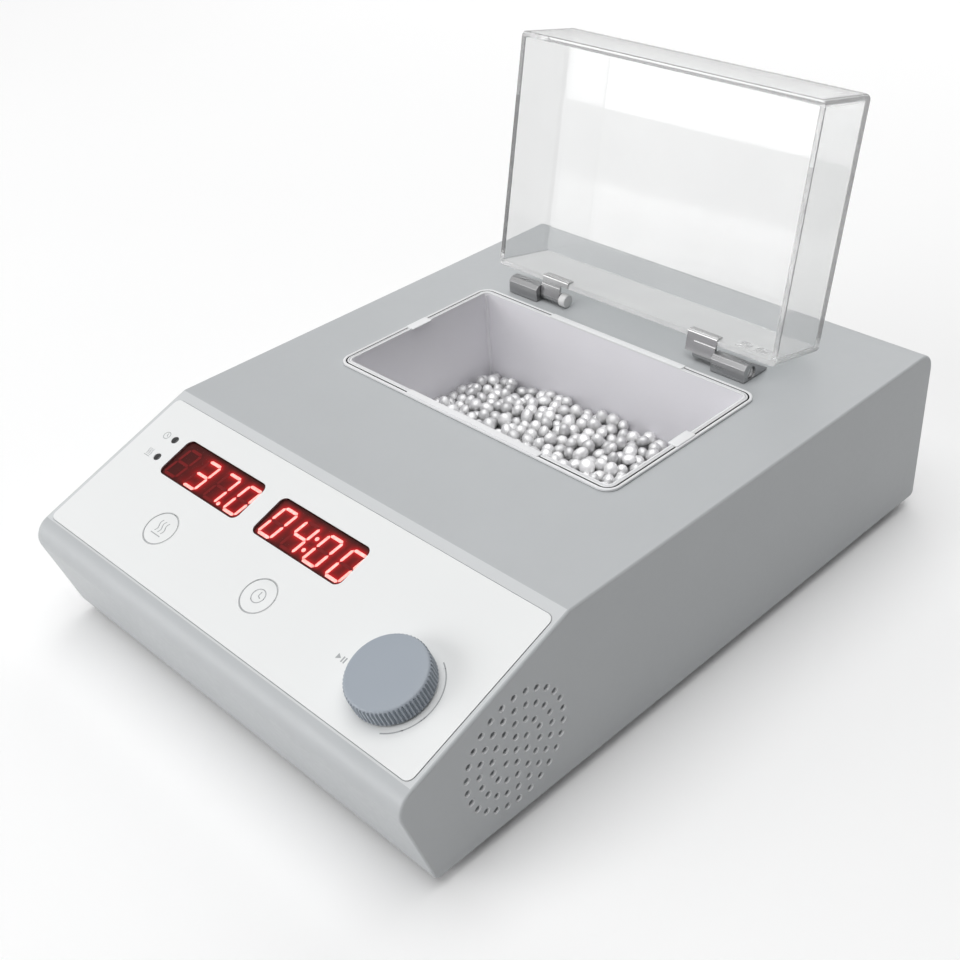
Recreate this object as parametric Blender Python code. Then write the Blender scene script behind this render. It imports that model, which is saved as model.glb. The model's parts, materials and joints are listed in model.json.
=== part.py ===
"""Dry block heater with a bead bath and a hinged clear lid, as separate parts.

Metres, +Z up. The front panel faces -Y, the lid stands open at rest, and the
origin is on the table under the middle of the case.
"""

from math import atan2, cos, pi, radians, sin, tan

import bmesh
import bpy
from mathutils import Matrix, Vector

# ---------------------------------------------------------------- driving sizes
CASE_W = 0.210
CASE_D = 0.293
CASE_H = 0.070
FOOT_H = 0.005
WALL = 0.0025
GAP = 0.0003
FIT = 0.0002

# Side outline of the case, measured from its front bottom corner.
UNDERCUT = 0.0133
NOSE_H = 0.0419
PANEL_RUN = 0.0771
NOSE_RADIUS = 0.0085
BROW_RADIUS = 0.0025
REAR_RADIUS = 0.0080
HEEL_RADIUS = 0.0025
SIDE_EDGE = 0.0010

# The rounded nose falls short of its sharp corner and the switch stands out behind,
# so the sharp outline is set forward by this much to stay centred on the origin.
SET_FORWARD = 0.0022
CASE_BOTTOM = FOOT_H
CASE_TOP = FOOT_H + CASE_H
FRONT_Y = -CASE_D / 2 - SET_FORWARD
REAR_Y = FRONT_Y + CASE_D
BROW_Y = FRONT_Y + PANEL_RUN
PANEL_TILT = atan2(CASE_H - NOSE_H, PANEL_RUN)

# Well, measured over the rim that lies on the case.
WELL_Y = FRONT_Y + 0.17525
RIM_HALF_X = 0.0738
RIM_HALF_Y = 0.04355
RIM_WIDTH = 0.0022
RIM_H = 0.0011
RIM_SKIRT = 0.0012
RIM_SKIRT_H = 0.006
RIM_CORNER = 0.0060
TRAY_GROOVE = 0.0005
TRAY_WALL = 0.0010
TRAY_INSET = RIM_WIDTH + TRAY_GROOVE
TRAY_FLOOR_Z = CASE_BOTTOM + 0.0145
TRAY_TOP = CASE_TOP + RIM_H
TAB_TOP = TRAY_TOP + 0.0004
TAB_T = 0.0008
TAB_X = (-0.0320, 0.0390)
GRIP_HALF = 0.0055
GRIP_REACH = 0.0014
BEAD_LEVEL_Z = CASE_BOTTOM + 0.0345
BLOCK_WALL = 0.004
BLOCK_FLOOR = 0.005
HEATER_T = 0.0015
INSULATION_T = 0.004
SENSOR_X = 0.0450
SENSOR_R = 0.0012
CUTOUT_AT = (-0.0450, 0.0400)
CUTOUT_R = 0.0048
CUTOUT_T = 0.0032

# Lid and hinges. The lid frame is on the hinge axis and the lid is drawn shut in it.
HINGE_Y = FRONT_Y + 0.2279
HINGE_H = 0.0031
HINGE_Z = CASE_TOP + HINGE_H
LID_OPEN = radians(101.4)
LID_W = 0.1480
LID_L = 0.1008
LID_H = 0.0312
LID_WALL = 0.0024
LID_BACK = -0.0057
LID_RIM = -0.0012
LID_CORNER = 0.0022
PIN_R = 0.0015
PIN_HEAD_R = 0.00285
RUN_CLEARANCE = 0.0001
KNUCKLE_R = 0.0024
CLIP_T = 0.0007
CLIP_IN = 0.0323
CLIP_STEP = 0.0363
CLIP_OUT = 0.0468
CLIP_FLANGE = 0.0030
CLIP_WIDE_END = {"left": -0.0062, "right": 0.0}
BLOCK_IN = 0.0471
BLOCK_OUT = 0.0635
HINGE_SCREW_X = (BLOCK_IN + BLOCK_OUT) / 2
HINGE_SCREW_Y = HINGE_Y + 0.0056

# Front panel, with s measured down the slope from the brow.
OVERLAY_W = 0.2050
OVERLAY_S = (0.0047, 0.0730)
OVERLAY_T = 0.0006
OVERLAY_SUNK = 0.0003
OVERLAY_TOP = OVERLAY_T - OVERLAY_SUNK
DISPLAY_S = (0.0167, 0.0347)
DISPLAY_X = ((-0.0786, -0.0295), (-0.0200, 0.0289))
KEY_X = (-0.0536, 0.0058)
KEY_S = 0.0524
KEY_R = 0.0073
KEY_TRAVEL = 0.0005
LED_X = -0.0850
LED_S = (0.0205, 0.0300)
LED_R = 0.0016
KNOB_X = 0.0747
KNOB_S = 0.0512
KNOB_R = 0.0148
KNOB_BOTTOM = 0.0012
KNOB_H = 0.0074
SHAFT_R = 0.0030
BOARD_DEPTH = 0.0130
BOARD_T = 0.0016
BOARD_POSTS = [(sx * 0.088, -s) for sx in (-1, 1) for s in (0.013, 0.062)]
KEY_STEM_END = -0.0075
ENCODER_HALF = 0.0065
ENCODER_TOP = -0.0050
BUSH_R = 0.0044
ROTOR_R = 0.0037
ROTOR_H = (-0.0109, -0.0067)

# Round vents on both sides: rings of holes about a centre hole, as (count, turn).
VENT_Y = FRONT_Y + UNDERCUT + 0.0375
VENT_Z = CASE_BOTTOM + 0.0292
VENT_PITCH = 0.0055
VENT_RINGS = ((6, 0.5), (14, 0.5), (20, 0.0), (26, 0.5))
VENT_HOLE_R = 0.0013

# Rear wall fittings, each with the half width and half height of its body and flange.
FITTING_Z = 0.0370
INLET_X = -0.0600
INLET_BODY = (0.0138, 0.0103)
INLET_FLANGE = (0.0155, 0.0120)
INLET_DEEP = 0.0180
SOCKET_DEEP = 0.0155
PIN_PLACES = ((-0.0070, -0.0020), (0.0, 0.0020), (0.0070, -0.0020))
SWITCH_X = -0.0200
SWITCH_BODY = (0.0066, 0.0096)
SWITCH_BEZEL = (0.0078, 0.0108)
SWITCH_DEEP = 0.0120
ROCKER_HALF_X = 0.0047
ROCKER_AXIS_Y = REAR_Y - 0.0035
ROCKER_TILT = radians(9.0)

# Screws from below, through the feet, the base plate and the posts of the case.
SCREW_PLACES = [(x, y) for x in (-0.0925, 0.0925) for y in (FRONT_Y + 0.0365, FRONT_Y + 0.2725)]
SCREW_NAMES = ("front_left", "rear_left", "front_right", "rear_right")
BASE_T = 0.0020
BASE_TOP = CASE_BOTTOM + BASE_T
POST_H = 0.0160

# Power board on the base plate, placed from the rear wall forwards.
POWER_BOARD_X = (-0.0400, 0.0840)
POWER_BOARD_BACK = (0.0615, 0.0255)
POWER_BOARD_Z = BASE_TOP + 0.0035
PARTS_Z = POWER_BOARD_Z + BOARD_T + FIT
STANDOFFS = (("left", -0.0340, 0.0580), ("right", 0.0700, 0.0290))
LEAD_LANE = 0.0935


# ---------------------------------------------------------------- small tools
def clear_scene():
    for old in list(bpy.data.objects):
        bpy.data.objects.remove(old, do_unlink=True)


def material(name, colour, roughness, metallic=0.0):
    made = bpy.data.materials.new(name)
    made.use_nodes = True
    shader = made.node_tree.nodes["Principled BSDF"]
    shader.inputs["Base Color"].default_value = (*colour, 1.0)
    shader.inputs["Roughness"].default_value = roughness
    shader.inputs["Metallic"].default_value = metallic
    return made


def add_object(name, mesh, finish=None):
    made = bpy.data.objects.new(name, mesh)
    bpy.context.scene.collection.objects.link(made)
    if finish:
        mesh.materials.append(finish)
    return made


def frame_at(name, place, tilt=0.0):
    empty = bpy.data.objects.new(name, None)
    bpy.context.scene.collection.objects.link(empty)
    empty.location = place
    empty.rotation_euler = (tilt, 0.0, 0.0)
    return empty


def put(obj, parent=None, at=(0, 0, 0), turn=(0, 0, 0)):
    obj.parent = parent
    obj.location = at
    obj.rotation_euler = turn
    return obj


def mesh_from(name, bm):
    bmesh.ops.recalc_face_normals(bm, faces=bm.faces)
    mesh = bpy.data.meshes.new(name)
    bm.to_mesh(mesh)
    bm.free()
    return mesh


def shade_round(obj):
    obj.data.shade_smooth()
    obj.data.set_sharp_from_angle(angle=radians(35))


def rectangle(x0, x1, y0, y1):
    return [(x0, y0), (x1, y0), (x1, y1), (x0, y1)]


def rounded(corners, radii, steps=4):
    """The outline with each corner replaced by an arc of its radius."""
    count = len(corners)
    if not isinstance(radii, (list, tuple)):
        radii = [radii] * count
    outline = []
    for i, corner in enumerate(corners):
        here = Vector(corner)
        to_last = (Vector(corners[i - 1]) - here).normalized()
        to_next = (Vector(corners[(i + 1) % count]) - here).normalized()
        half = to_last.angle(to_next) / 2
        if radii[i] == 0:
            outline.append(tuple(here))
            continue
        centre = here + (to_last + to_next).normalized() * (radii[i] / sin(half))
        start = here + to_last * (radii[i] / tan(half)) - centre
        sweep = pi - 2 * half
        turn = 1 if to_last.cross(to_next) < 0 else -1
        for k in range(steps + 1):
            a = turn * sweep * k / steps
            outline.append(
                (
                    centre.x + start.x * cos(a) - start.y * sin(a),
                    centre.y + start.x * sin(a) + start.y * cos(a),
                )
            )
    return outline


def inset_outline(corners, insets):
    """The corners of an anticlockwise outline with side i moved inwards by insets[i]."""
    count = len(corners)
    sides = []
    for i in range(count):
        a = Vector(corners[i])
        b = Vector(corners[(i + 1) % count])
        along = (b - a).normalized()
        inward = Vector((-along.y, along.x))
        sides.append((a + inward * insets[i], along))
    moved = []
    for i in range(count):
        point, along = sides[i - 1]
        other, next_along = sides[i]
        step = (other - point).cross(next_along) / along.cross(next_along)
        moved.append(tuple(point + along * step))
    return moved


AXIS_POINT = {
    "x": lambda u, v, w: (w, u, v),
    "y": lambda u, v, w: (u, w, v),
    "z": lambda u, v, w: (u, v, w),
}


def extrusion(name, outline, low, high, axis="z", finish=None, edge=0.0, steps=2):
    """A solid with a flat outline, from low to high along an axis.

    edge rounds the rims of both ends.
    """
    bm = bmesh.new()
    point = AXIS_POINT[axis]
    face = bm.faces.new([bm.verts.new(point(u, v, low)) for u, v in outline])
    grown = bmesh.ops.extrude_face_region(bm, geom=[face])["geom"]
    shift = Vector(point(0, 0, high)) - Vector(point(0, 0, low))
    bmesh.ops.translate(
        bm, vec=shift, verts=[g for g in grown if isinstance(g, bmesh.types.BMVert)]
    )
    bmesh.ops.recalc_face_normals(bm, faces=bm.faces)
    if edge:
        index = "xyz".index(axis)
        rims = [
            e for e in bm.edges if abs(e.verts[0].co[index] - e.verts[1].co[index]) < 1e-6
        ]
        bmesh.ops.bevel(
            bm, geom=rims, offset=edge, segments=steps, profile=0.5, affect="EDGES"
        )
    return add_object(name, mesh_from(name, bm), finish)


def slab(name, x, y, z, finish=None, edge=0.0, corner=0.0):
    """A box between the given pairs of limits."""
    outline = rectangle(*x, *y)
    if corner:
        outline = rounded(outline, corner)
    return extrusion(name, outline, *z, finish=finish, edge=edge)


def turned(name, profile, finish=None, sides=24, axis="z"):
    """A solid of revolution. profile is (radius, height) points from the axis, round
    the section and back to the axis, or a closed ring clear of the axis."""
    bm = bmesh.new()
    on_axis = profile[0][0] == 0
    rows = []
    for radius, height in profile:
        if radius == 0:
            rows.append([bm.verts.new((0, 0, height))])
            continue
        rows.append(
            [
                bm.verts.new(
                    (radius * cos(2 * pi * k / sides), radius * sin(2 * pi * k / sides), height)
                )
                for k in range(sides)
            ]
        )
    pairs = list(zip(rows, rows[1:]))
    if not on_axis:
        pairs.append((rows[-1], rows[0]))
    for lower, upper in pairs:
        for k in range(sides):
            n = (k + 1) % sides
            if len(lower) == 1:
                bm.faces.new((lower[0], upper[k], upper[n]))
            elif len(upper) == 1:
                bm.faces.new((lower[k], lower[n], upper[0]))
            else:
                bm.faces.new((lower[k], lower[n], upper[n], upper[k]))
    if axis == "x":
        bmesh.ops.rotate(bm, matrix=Matrix.Rotation(pi / 2, 3, "Y"), verts=bm.verts)
    if axis == "y":
        bmesh.ops.rotate(bm, matrix=Matrix.Rotation(-pi / 2, 3, "X"), verts=bm.verts)
    made = add_object(name, mesh_from(name, bm), finish)
    shade_round(made)
    return made


def block_at(name, x, z, half, y, finish=None, edge=0.0):
    """A box about a point of the rear wall, with its half width and half height."""
    return slab(
        name,
        (x - half[0], x + half[0]),
        y,
        (z - half[1], z + half[1]),
        finish,
        edge,
    )


def drum(radius, low, high, edge=0.0):
    """The profile of a plain cylinder, with an optional chamfer."""
    if not edge:
        return [(0, low), (radius, low), (radius, high), (0, high)]
    return [
        (0, low),
        (radius - edge, low),
        (radius, low + edge),
        (radius, high - edge),
        (radius - edge, high),
        (0, high),
    ]


def tube_profile(inner, outer, low, high):
    return [(inner, low), (outer, low), (outer, high), (inner, high)]


def boolean(target, tool, operation="DIFFERENCE"):
    tool.hide_render = True
    tool.display_type = "WIRE"
    step = target.modifiers.new(tool.name, "BOOLEAN")
    step.operation = operation
    step.solver = "EXACT"
    step.object = tool
    return target


def cut(target, *tools):
    for tool in tools:
        boolean(target, tool)


def join(target, *tools):
    for tool in tools:
        boolean(target, tool, "UNION")


def holes(name, centres, radius, low, high, axis, sides=8):
    """One cutter made of equal round bars, for a pattern of holes."""
    bm = bmesh.new()
    point = AXIS_POINT[axis]
    for u, v in centres:
        rings = []
        for w in (low, high):
            rings.append(
                [
                    bm.verts.new(
                        point(
                            u + radius * cos(2 * pi * (k + 0.5) / sides),
                            v + radius * sin(2 * pi * (k + 0.5) / sides),
                            w,
                        )
                    )
                    for k in range(sides)
                ]
            )
        bm.faces.new(rings[0])
        bm.faces.new(rings[1])
        for k in range(sides):
            n = (k + 1) % sides
            bm.faces.new((rings[0][k], rings[0][n], rings[1][n], rings[1][k]))
    return add_object(name, mesh_from(name, bm))


def cable(name, route, radius, finish):
    """A round wire along a smooth curve through the route."""
    curve = bpy.data.curves.new(name, "CURVE")
    curve.dimensions = "3D"
    curve.bevel_depth = radius
    curve.bevel_resolution = 1
    curve.use_fill_caps = True
    spline = curve.splines.new("POLY")
    points = smooth_route([Vector(p) for p in route], 4)
    spline.points.add(len(points) - 1)
    for slot, p in zip(spline.points, points):
        slot.co = (*p, 1.0)
    return add_object(name, curve, finish)


def smooth_route(route, steps):
    """Catmull-Rom points through the route."""
    ends = [2 * route[0] - route[1], *route, 2 * route[-1] - route[-2]]
    points = []
    for a, b, c, d in zip(ends, ends[1:], ends[2:], ends[3:]):
        for k in range(steps):
            t = k / steps
            points.append(
                0.5
                * (
                    2 * b
                    + (c - a) * t
                    + (2 * a - 5 * b + 4 * c - d) * t**2
                    + (3 * b - a - 3 * c + d) * t**3
                )
            )
    return points + [route[-1]]


# ---------------------------------------------------------------- finishes
def make_finishes():
    return {
        "case_paint": material("case_paint", (0.52, 0.54, 0.55), 0.42),
        "white_film": material("white_film", (0.86, 0.87, 0.87), 0.35),
        "smoked_window": material("smoked_window", (0.06, 0.004, 0.006), 0.12),
        "display_body": material("display_body", (0.03, 0.03, 0.03), 0.5),
        "board": material("board", (0.02, 0.12, 0.06), 0.5),
        "black_plastic": material("black_plastic", (0.02, 0.02, 0.02), 0.45),
        "knob_plastic": material("knob_plastic", (0.36, 0.40, 0.44), 0.5),
        "light_plastic": material("light_plastic", (0.72, 0.73, 0.74), 0.4),
        "steel": material("steel", (0.55, 0.55, 0.55), 0.3, 1.0),
        "aluminium": material("aluminium", (0.75, 0.76, 0.78), 0.35, 1.0),
        "bead_metal": material("bead_metal", (0.70, 0.70, 0.71), 0.3, 1.0),
        "rubber": material("rubber", (0.03, 0.03, 0.03), 0.8),
        "clear_plastic": material("clear_plastic", (0.92, 0.94, 0.95), 0.05),
        "silicone": material("silicone", (0.45, 0.10, 0.05), 0.6),
        "felt": material("felt", (0.75, 0.74, 0.70), 0.9),
        "brass": material("brass", (0.70, 0.55, 0.28), 0.3, 1.0),
        "copper": material("copper", (0.60, 0.30, 0.15), 0.4, 1.0),
    }


# ---------------------------------------------------------------- case
def case_corners():
    """Side outline as (y, z), anticlockwise seen from +X, from the front bottom."""
    return [
        (FRONT_Y + UNDERCUT, CASE_BOTTOM),
        (REAR_Y, CASE_BOTTOM),
        (REAR_Y, CASE_TOP),
        (BROW_Y, CASE_TOP),
        (FRONT_Y, CASE_BOTTOM + NOSE_H),
    ]


CASE_RADII = [HEEL_RADIUS, HEEL_RADIUS, REAR_RADIUS, BROW_RADIUS, NOSE_RADIUS]


def vent_centres():
    centres = [(VENT_Y, VENT_Z)]
    for ring, (count, turn) in enumerate(VENT_RINGS, 1):
        for k in range(count):
            a = 2 * pi * (k + turn) / count
            radius = VENT_PITCH * ring
            centres.append((VENT_Y + radius * cos(a), VENT_Z + radius * sin(a)))
    return centres


def build_case(finishes, panel):
    outline = rounded(case_corners(), CASE_RADII)
    half = CASE_W / 2
    case = extrusion(
        "housing", outline, -half, half, "x", finishes["case_paint"], SIDE_EDGE, 2
    )
    insets = [-0.01, WALL, WALL, WALL, WALL]
    hollow = rounded(inset_outline(case_corners(), insets), [0, 0, 0.005, 0, 0.005], 3)
    cut(case, extrusion("cut_case_hollow", hollow, WALL - half, half - WALL, "x"))

    opening_x = RIM_HALF_X - RIM_WIDTH + RIM_SKIRT + FIT
    opening_y = RIM_HALF_Y - RIM_WIDTH + RIM_SKIRT + FIT
    opening = slab(
        "cut_well",
        (-opening_x, opening_x),
        (WELL_Y - opening_y, WELL_Y + opening_y),
        (CASE_TOP - 0.01, CASE_TOP + 0.01),
        corner=RIM_CORNER - RIM_WIDTH + RIM_SKIRT,
    )
    recess = slab(
        "cut_overlay_recess",
        (-OVERLAY_W / 2 - FIT, OVERLAY_W / 2 + FIT),
        (-OVERLAY_S[1] - FIT, -OVERLAY_S[0] + FIT),
        (-OVERLAY_SUNK - FIT, 0.004),
        corner=0.003,
    )
    put(recess, panel)
    cut(case, opening, recess)
    for side, (x0, x1) in zip(("left", "right"), DISPLAY_X):
        window = slab(
            f"cut_display_{side}",
            (x0 - FIT, x1 + FIT),
            (-DISPLAY_S[1] - FIT, -DISPLAY_S[0] + FIT),
            (-0.01, 0.01),
        )
        cut(case, put(window, panel))
    stems = holes(
        "cut_panel_stems",
        [(x, -KEY_S) for x in KEY_X] + [(LED_X, -s) for s in LED_S],
        LED_R + FIT,
        -0.01,
        0.004,
        "z",
        16,
    )
    key_pockets = holes(
        "cut_key_pockets",
        [(x, -KEY_S) for x in KEY_X],
        KEY_R + GAP,
        -OVERLAY_SUNK - KEY_TRAVEL - GAP,
        0.004,
        "z",
        24,
    )
    bush = holes(
        "cut_encoder_bush", [(KNOB_X, -KNOB_S)], BUSH_R + FIT, -0.01, 0.004, "z", 16
    )
    cut(case, put(stems, panel), put(key_pockets, panel), put(bush, panel))
    for side, sign in (("left", -1), ("right", 1)):
        low, high = sorted((sign * (half - 0.006), sign * (half + 0.004)))
        vents = holes(f"cut_vents_{side}", vent_centres(), VENT_HOLE_R, low, high, "x")
        cut(case, vents)
    rear = (REAR_Y - 0.01, REAR_Y + 0.01)
    for name, x, body in (
        ("inlet", INLET_X, INLET_BODY),
        ("switch", SWITCH_X, SWITCH_BODY),
    ):
        room = (body[0] + FIT, body[1] + FIT)
        cut(case, block_at(f"cut_{name}", x, FITTING_Z, room, rear))
    build_case_posts(case, panel)
    screw_holes = holes(
        "cut_case_screw_holes",
        SCREW_PLACES,
        0.0017,
        CASE_BOTTOM - 0.001,
        CASE_BOTTOM + 0.014,
        "z",
        12,
    )
    cut(case, screw_holes)
    hinge_holes = holes(
        "cut_hinge_screw_holes",
        [(sx * HINGE_SCREW_X, HINGE_SCREW_Y) for sx in (-1, 1)],
        0.0014,
        CASE_TOP - 0.01,
        CASE_TOP + 0.01,
        "z",
        12,
    )
    cut(case, hinge_holes)
    return case


def build_case_posts(case, panel):
    """Screw posts inside the case, which carry the base plate and the front board."""
    for i, (x, y) in enumerate(SCREW_PLACES):
        span = (BASE_TOP + 0.0005, CASE_BOTTOM + POST_H)
        post = turned(f"join_post_{i}", drum(0.0038, *span), sides=12)
        wall_x = (CASE_W - WALL) / 2 if x > 0 else (WALL - CASE_W) / 2
        web = slab(
            f"join_post_web_{i}", sorted((x, wall_x)), (y - 0.002, y + 0.002), span
        )
        join(case, put(post, at=(x, y, 0)), web)
    for i, (x, y) in enumerate(BOARD_POSTS):
        post = turned(
            f"join_board_post_{i}", drum(0.0025, GAP - BOARD_DEPTH, -WALL / 2), sides=10
        )
        join(case, put(post, panel, (x, y, 0)))


def build_base(finishes):
    front = FRONT_Y + UNDERCUT + WALL + 0.0006
    plate = slab(
        "base_plate",
        (-CASE_W / 2 + WALL + GAP, CASE_W / 2 - WALL - GAP),
        (front, REAR_Y - WALL - GAP),
        (CASE_BOTTOM, BASE_TOP),
        finishes["steel"],
    )
    bores = holes(
        "cut_base_screw_holes",
        SCREW_PLACES,
        0.0020,
        CASE_BOTTOM - 0.002,
        CASE_BOTTOM + 0.004,
        "z",
        12,
    )
    cut(plate, bores)
    slots = [
        slab(
            f"cut_base_slot_{i}",
            (-0.030, 0.030),
            (y - 0.0015, y + 0.0015),
            (CASE_BOTTOM - 0.002, CASE_BOTTOM + 0.004),
            corner=0.0014,
        )
        for i, y in enumerate(REAR_Y - 0.0545 + 0.008 * k for k in range(4))
    ]
    cut(plate, *slots)
    for name, (x, y) in zip(SCREW_NAMES, SCREW_PLACES):
        foot = turned(
            f"foot_{name}",
            [
                (0.0021, CASE_BOTTOM - GAP),
                (0.0021, 0.0024),
                (0.0042, 0.0024),
                (0.0042, 0.0),
                (0.0060, 0.0),
                (0.0068, 0.0008),
                (0.0075, CASE_BOTTOM - GAP),
            ],
            finishes["rubber"],
            20,
        )
        put(foot, at=(x, y, 0))
        screw = turned(
            f"foot_screw_{name}",
            [
                (0, 0.0008),
                (0.0032, 0.0008),
                (0.0032, 0.0024 - FIT),
                (0.0015, 0.0024 - FIT),
                (0.0015, CASE_BOTTOM + 0.012),
                (0, CASE_BOTTOM + 0.012),
            ],
            finishes["steel"],
            12,
        )
        put(screw, at=(x, y, 0))


# ---------------------------------------------------------------- front panel
def build_overlay(finishes, panel):
    overlay = slab(
        "front_overlay",
        (-OVERLAY_W / 2, OVERLAY_W / 2),
        (-OVERLAY_S[1], -OVERLAY_S[0]),
        (-OVERLAY_SUNK, OVERLAY_TOP),
        finishes["white_film"],
        corner=0.0028,
    )
    put(overlay, panel)
    for side, (x0, x1) in zip(("left", "right"), DISPLAY_X):
        hole = slab(
            f"cut_overlay_window_{side}",
            (x0 - FIT / 2, x1 + FIT / 2),
            (-DISPLAY_S[1] - FIT / 2, -DISPLAY_S[0] + FIT / 2),
            (-0.002, 0.002),
            corner=0.0022,
        )
        cut(overlay, put(hole, panel))
    round_holes = (
        ("keys", [(x, -KEY_S) for x in KEY_X], KEY_R + FIT, 32),
        ("leds", [(LED_X, -s) for s in LED_S], LED_R + FIT, 16),
        ("shaft", [(KNOB_X, -KNOB_S)], 0.0050, 20),
    )
    for name, centres, radius, sides in round_holes:
        tool = holes(f"cut_overlay_{name}", centres, radius, -0.002, 0.002, "z", sides)
        cut(overlay, put(tool, panel))


def build_displays(finishes, panel):
    for side, (x0, x1) in zip(("left", "right"), DISPLAY_X):
        window = slab(
            f"display_window_{side}",
            (x0 + FIT / 2, x1 - FIT / 2),
            (-DISPLAY_S[1] + FIT / 2, -DISPLAY_S[0] - FIT / 2),
            (-0.0012, OVERLAY_TOP),
            finishes["smoked_window"],
            corner=0.0020,
        )
        put(window, panel)
        module = slab(
            f"display_module_{side}",
            (x0 + 0.0006, x1 - 0.0006),
            (-DISPLAY_S[1] + 0.0006, -DISPLAY_S[0] - 0.0006),
            (-BOARD_DEPTH + GAP, -0.0016),
            finishes["display_body"],
            edge=0.0003,
        )
        put(module, panel)


def build_board(finishes, panel):
    board = slab(
        "control_board",
        (-0.093, 0.093),
        (-0.0670, -0.0090),
        (-BOARD_DEPTH - BOARD_T, -BOARD_DEPTH),
        finishes["board"],
        corner=0.002,
    )
    put(board, panel)


def build_keys(finishes, panel):
    for name, x in zip(("heat", "timer"), KEY_X):
        key_frame = frame_at(f"{name}_key_frame", (0, 0, 0))
        put(key_frame, panel, (x, -KEY_S, 0))
        key = turned(
            f"{name}_key",
            [
                (0, KEY_STEM_END),
                (LED_R, KEY_STEM_END),
                (LED_R, -OVERLAY_SUNK),
                (KEY_R, -OVERLAY_SUNK),
                (KEY_R, OVERLAY_TOP),
                (0, OVERLAY_TOP),
            ],
            finishes["white_film"],
            32,
        )
        put(key, key_frame)
        switch = turned(
            f"{name}_switch",
            [
                (0, -BOARD_DEPTH + GAP),
                (0.0042, -BOARD_DEPTH + GAP),
                (0.0042, -0.0095),
                (0.0016, -0.0095),
                (0.0016, KEY_STEM_END - KEY_TRAVEL - GAP),
                (0, KEY_STEM_END - KEY_TRAVEL - GAP),
            ],
            finishes["black_plastic"],
            16,
        )
        put(switch, panel, (x, -KEY_S, 0))


def build_indicators(finishes, panel):
    for name, s in zip(("timer", "heat"), LED_S):
        lens = turned(
            f"{name}_indicator",
            drum(LED_R, -BOARD_DEPTH + GAP, OVERLAY_TOP, 0.0002),
            finishes["black_plastic"],
            16,
        )
        put(lens, panel, (LED_X, -s, 0))


def build_encoder(finishes, panel):
    at = (KNOB_X, -KNOB_S, 0)
    body = slab(
        "encoder_body",
        (-ENCODER_HALF, ENCODER_HALF),
        (-ENCODER_HALF, ENCODER_HALF),
        (-BOARD_DEPTH + GAP, ENCODER_TOP),
        finishes["steel"],
        edge=0.0003,
    )
    put(body, panel, at)
    neck = turned("join_encoder_neck", drum(BUSH_R, ENCODER_TOP - 0.001, 0.0004), sides=20)
    join(body, put(neck, panel, at))
    rotor_space = turned(
        "cut_encoder_rotor",
        drum(ROTOR_R + GAP, ROTOR_H[0] - GAP, ROTOR_H[1] + GAP),
        sides=20,
    )
    bore = turned("cut_encoder_bore", drum(SHAFT_R + RUN_CLEARANCE, -0.0122, 0.01), sides=20)
    slot = slab("cut_encoder_slot", (-0.0010, 0.0010), (0.0, 0.0080), (-0.0100, -0.0080))
    cut(body, put(rotor_space, panel, at), put(bore, panel, at), put(slot, panel, at))

    turn_frame = frame_at("knob_frame", (0, 0, 0))
    put(turn_frame, panel, at)
    rotor = turned(
        "encoder_rotor",
        tube_profile(SHAFT_R + RUN_CLEARANCE, ROTOR_R, *ROTOR_H),
        finishes["brass"],
        20,
    )
    put(rotor, turn_frame)
    shaft = turned(
        "encoder_shaft",
        drum(SHAFT_R, -0.0115, KNOB_BOTTOM + 0.0055, 0.0003),
        finishes["steel"],
        20,
    )
    put(shaft, turn_frame)
    knob = turned(
        "control_knob",
        [
            (0, KNOB_BOTTOM + 0.0058),
            (SHAFT_R + RUN_CLEARANCE, KNOB_BOTTOM + 0.0058),
            (SHAFT_R + RUN_CLEARANCE, KNOB_BOTTOM),
            (0.0058, KNOB_BOTTOM),
            (0.0058, KNOB_BOTTOM + 0.0052),
            (0.0128, KNOB_BOTTOM + 0.0052),
            (0.0128, KNOB_BOTTOM),
            (KNOB_R, KNOB_BOTTOM),
            (KNOB_R, KNOB_BOTTOM + KNOB_H - 0.0008),
            (KNOB_R - 0.0008, KNOB_BOTTOM + KNOB_H),
            (0, KNOB_BOTTOM + KNOB_H),
        ],
        finishes["knob_plastic"],
        40,
    )
    put(knob, turn_frame)


# ---------------------------------------------------------------- well
def well_outline(inset, corner):
    x = RIM_HALF_X - inset
    y = RIM_HALF_Y - inset
    return rounded(rectangle(-x, x, WELL_Y - y, WELL_Y + y), corner)


def tab_limits():
    """Where the tray's four tabs bear on the rim: a long one front and rear, a grip each side."""
    reach_x = RIM_HALF_X - 0.0006
    reach_y = RIM_HALF_Y - 0.0004
    inner_x = RIM_HALF_X - TRAY_INSET - TRAY_WALL - GRIP_REACH
    inner_y = RIM_HALF_Y - TRAY_INSET - TRAY_WALL / 2
    return (
        ("front", TAB_X, (WELL_Y - reach_y, WELL_Y - inner_y)),
        ("rear", TAB_X, (WELL_Y + inner_y, WELL_Y + reach_y)),
        ("left", (-reach_x, -inner_x), (WELL_Y - GRIP_HALF, WELL_Y + GRIP_HALF)),
        ("right", (inner_x, reach_x), (WELL_Y - GRIP_HALF, WELL_Y + GRIP_HALF)),
    )


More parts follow.
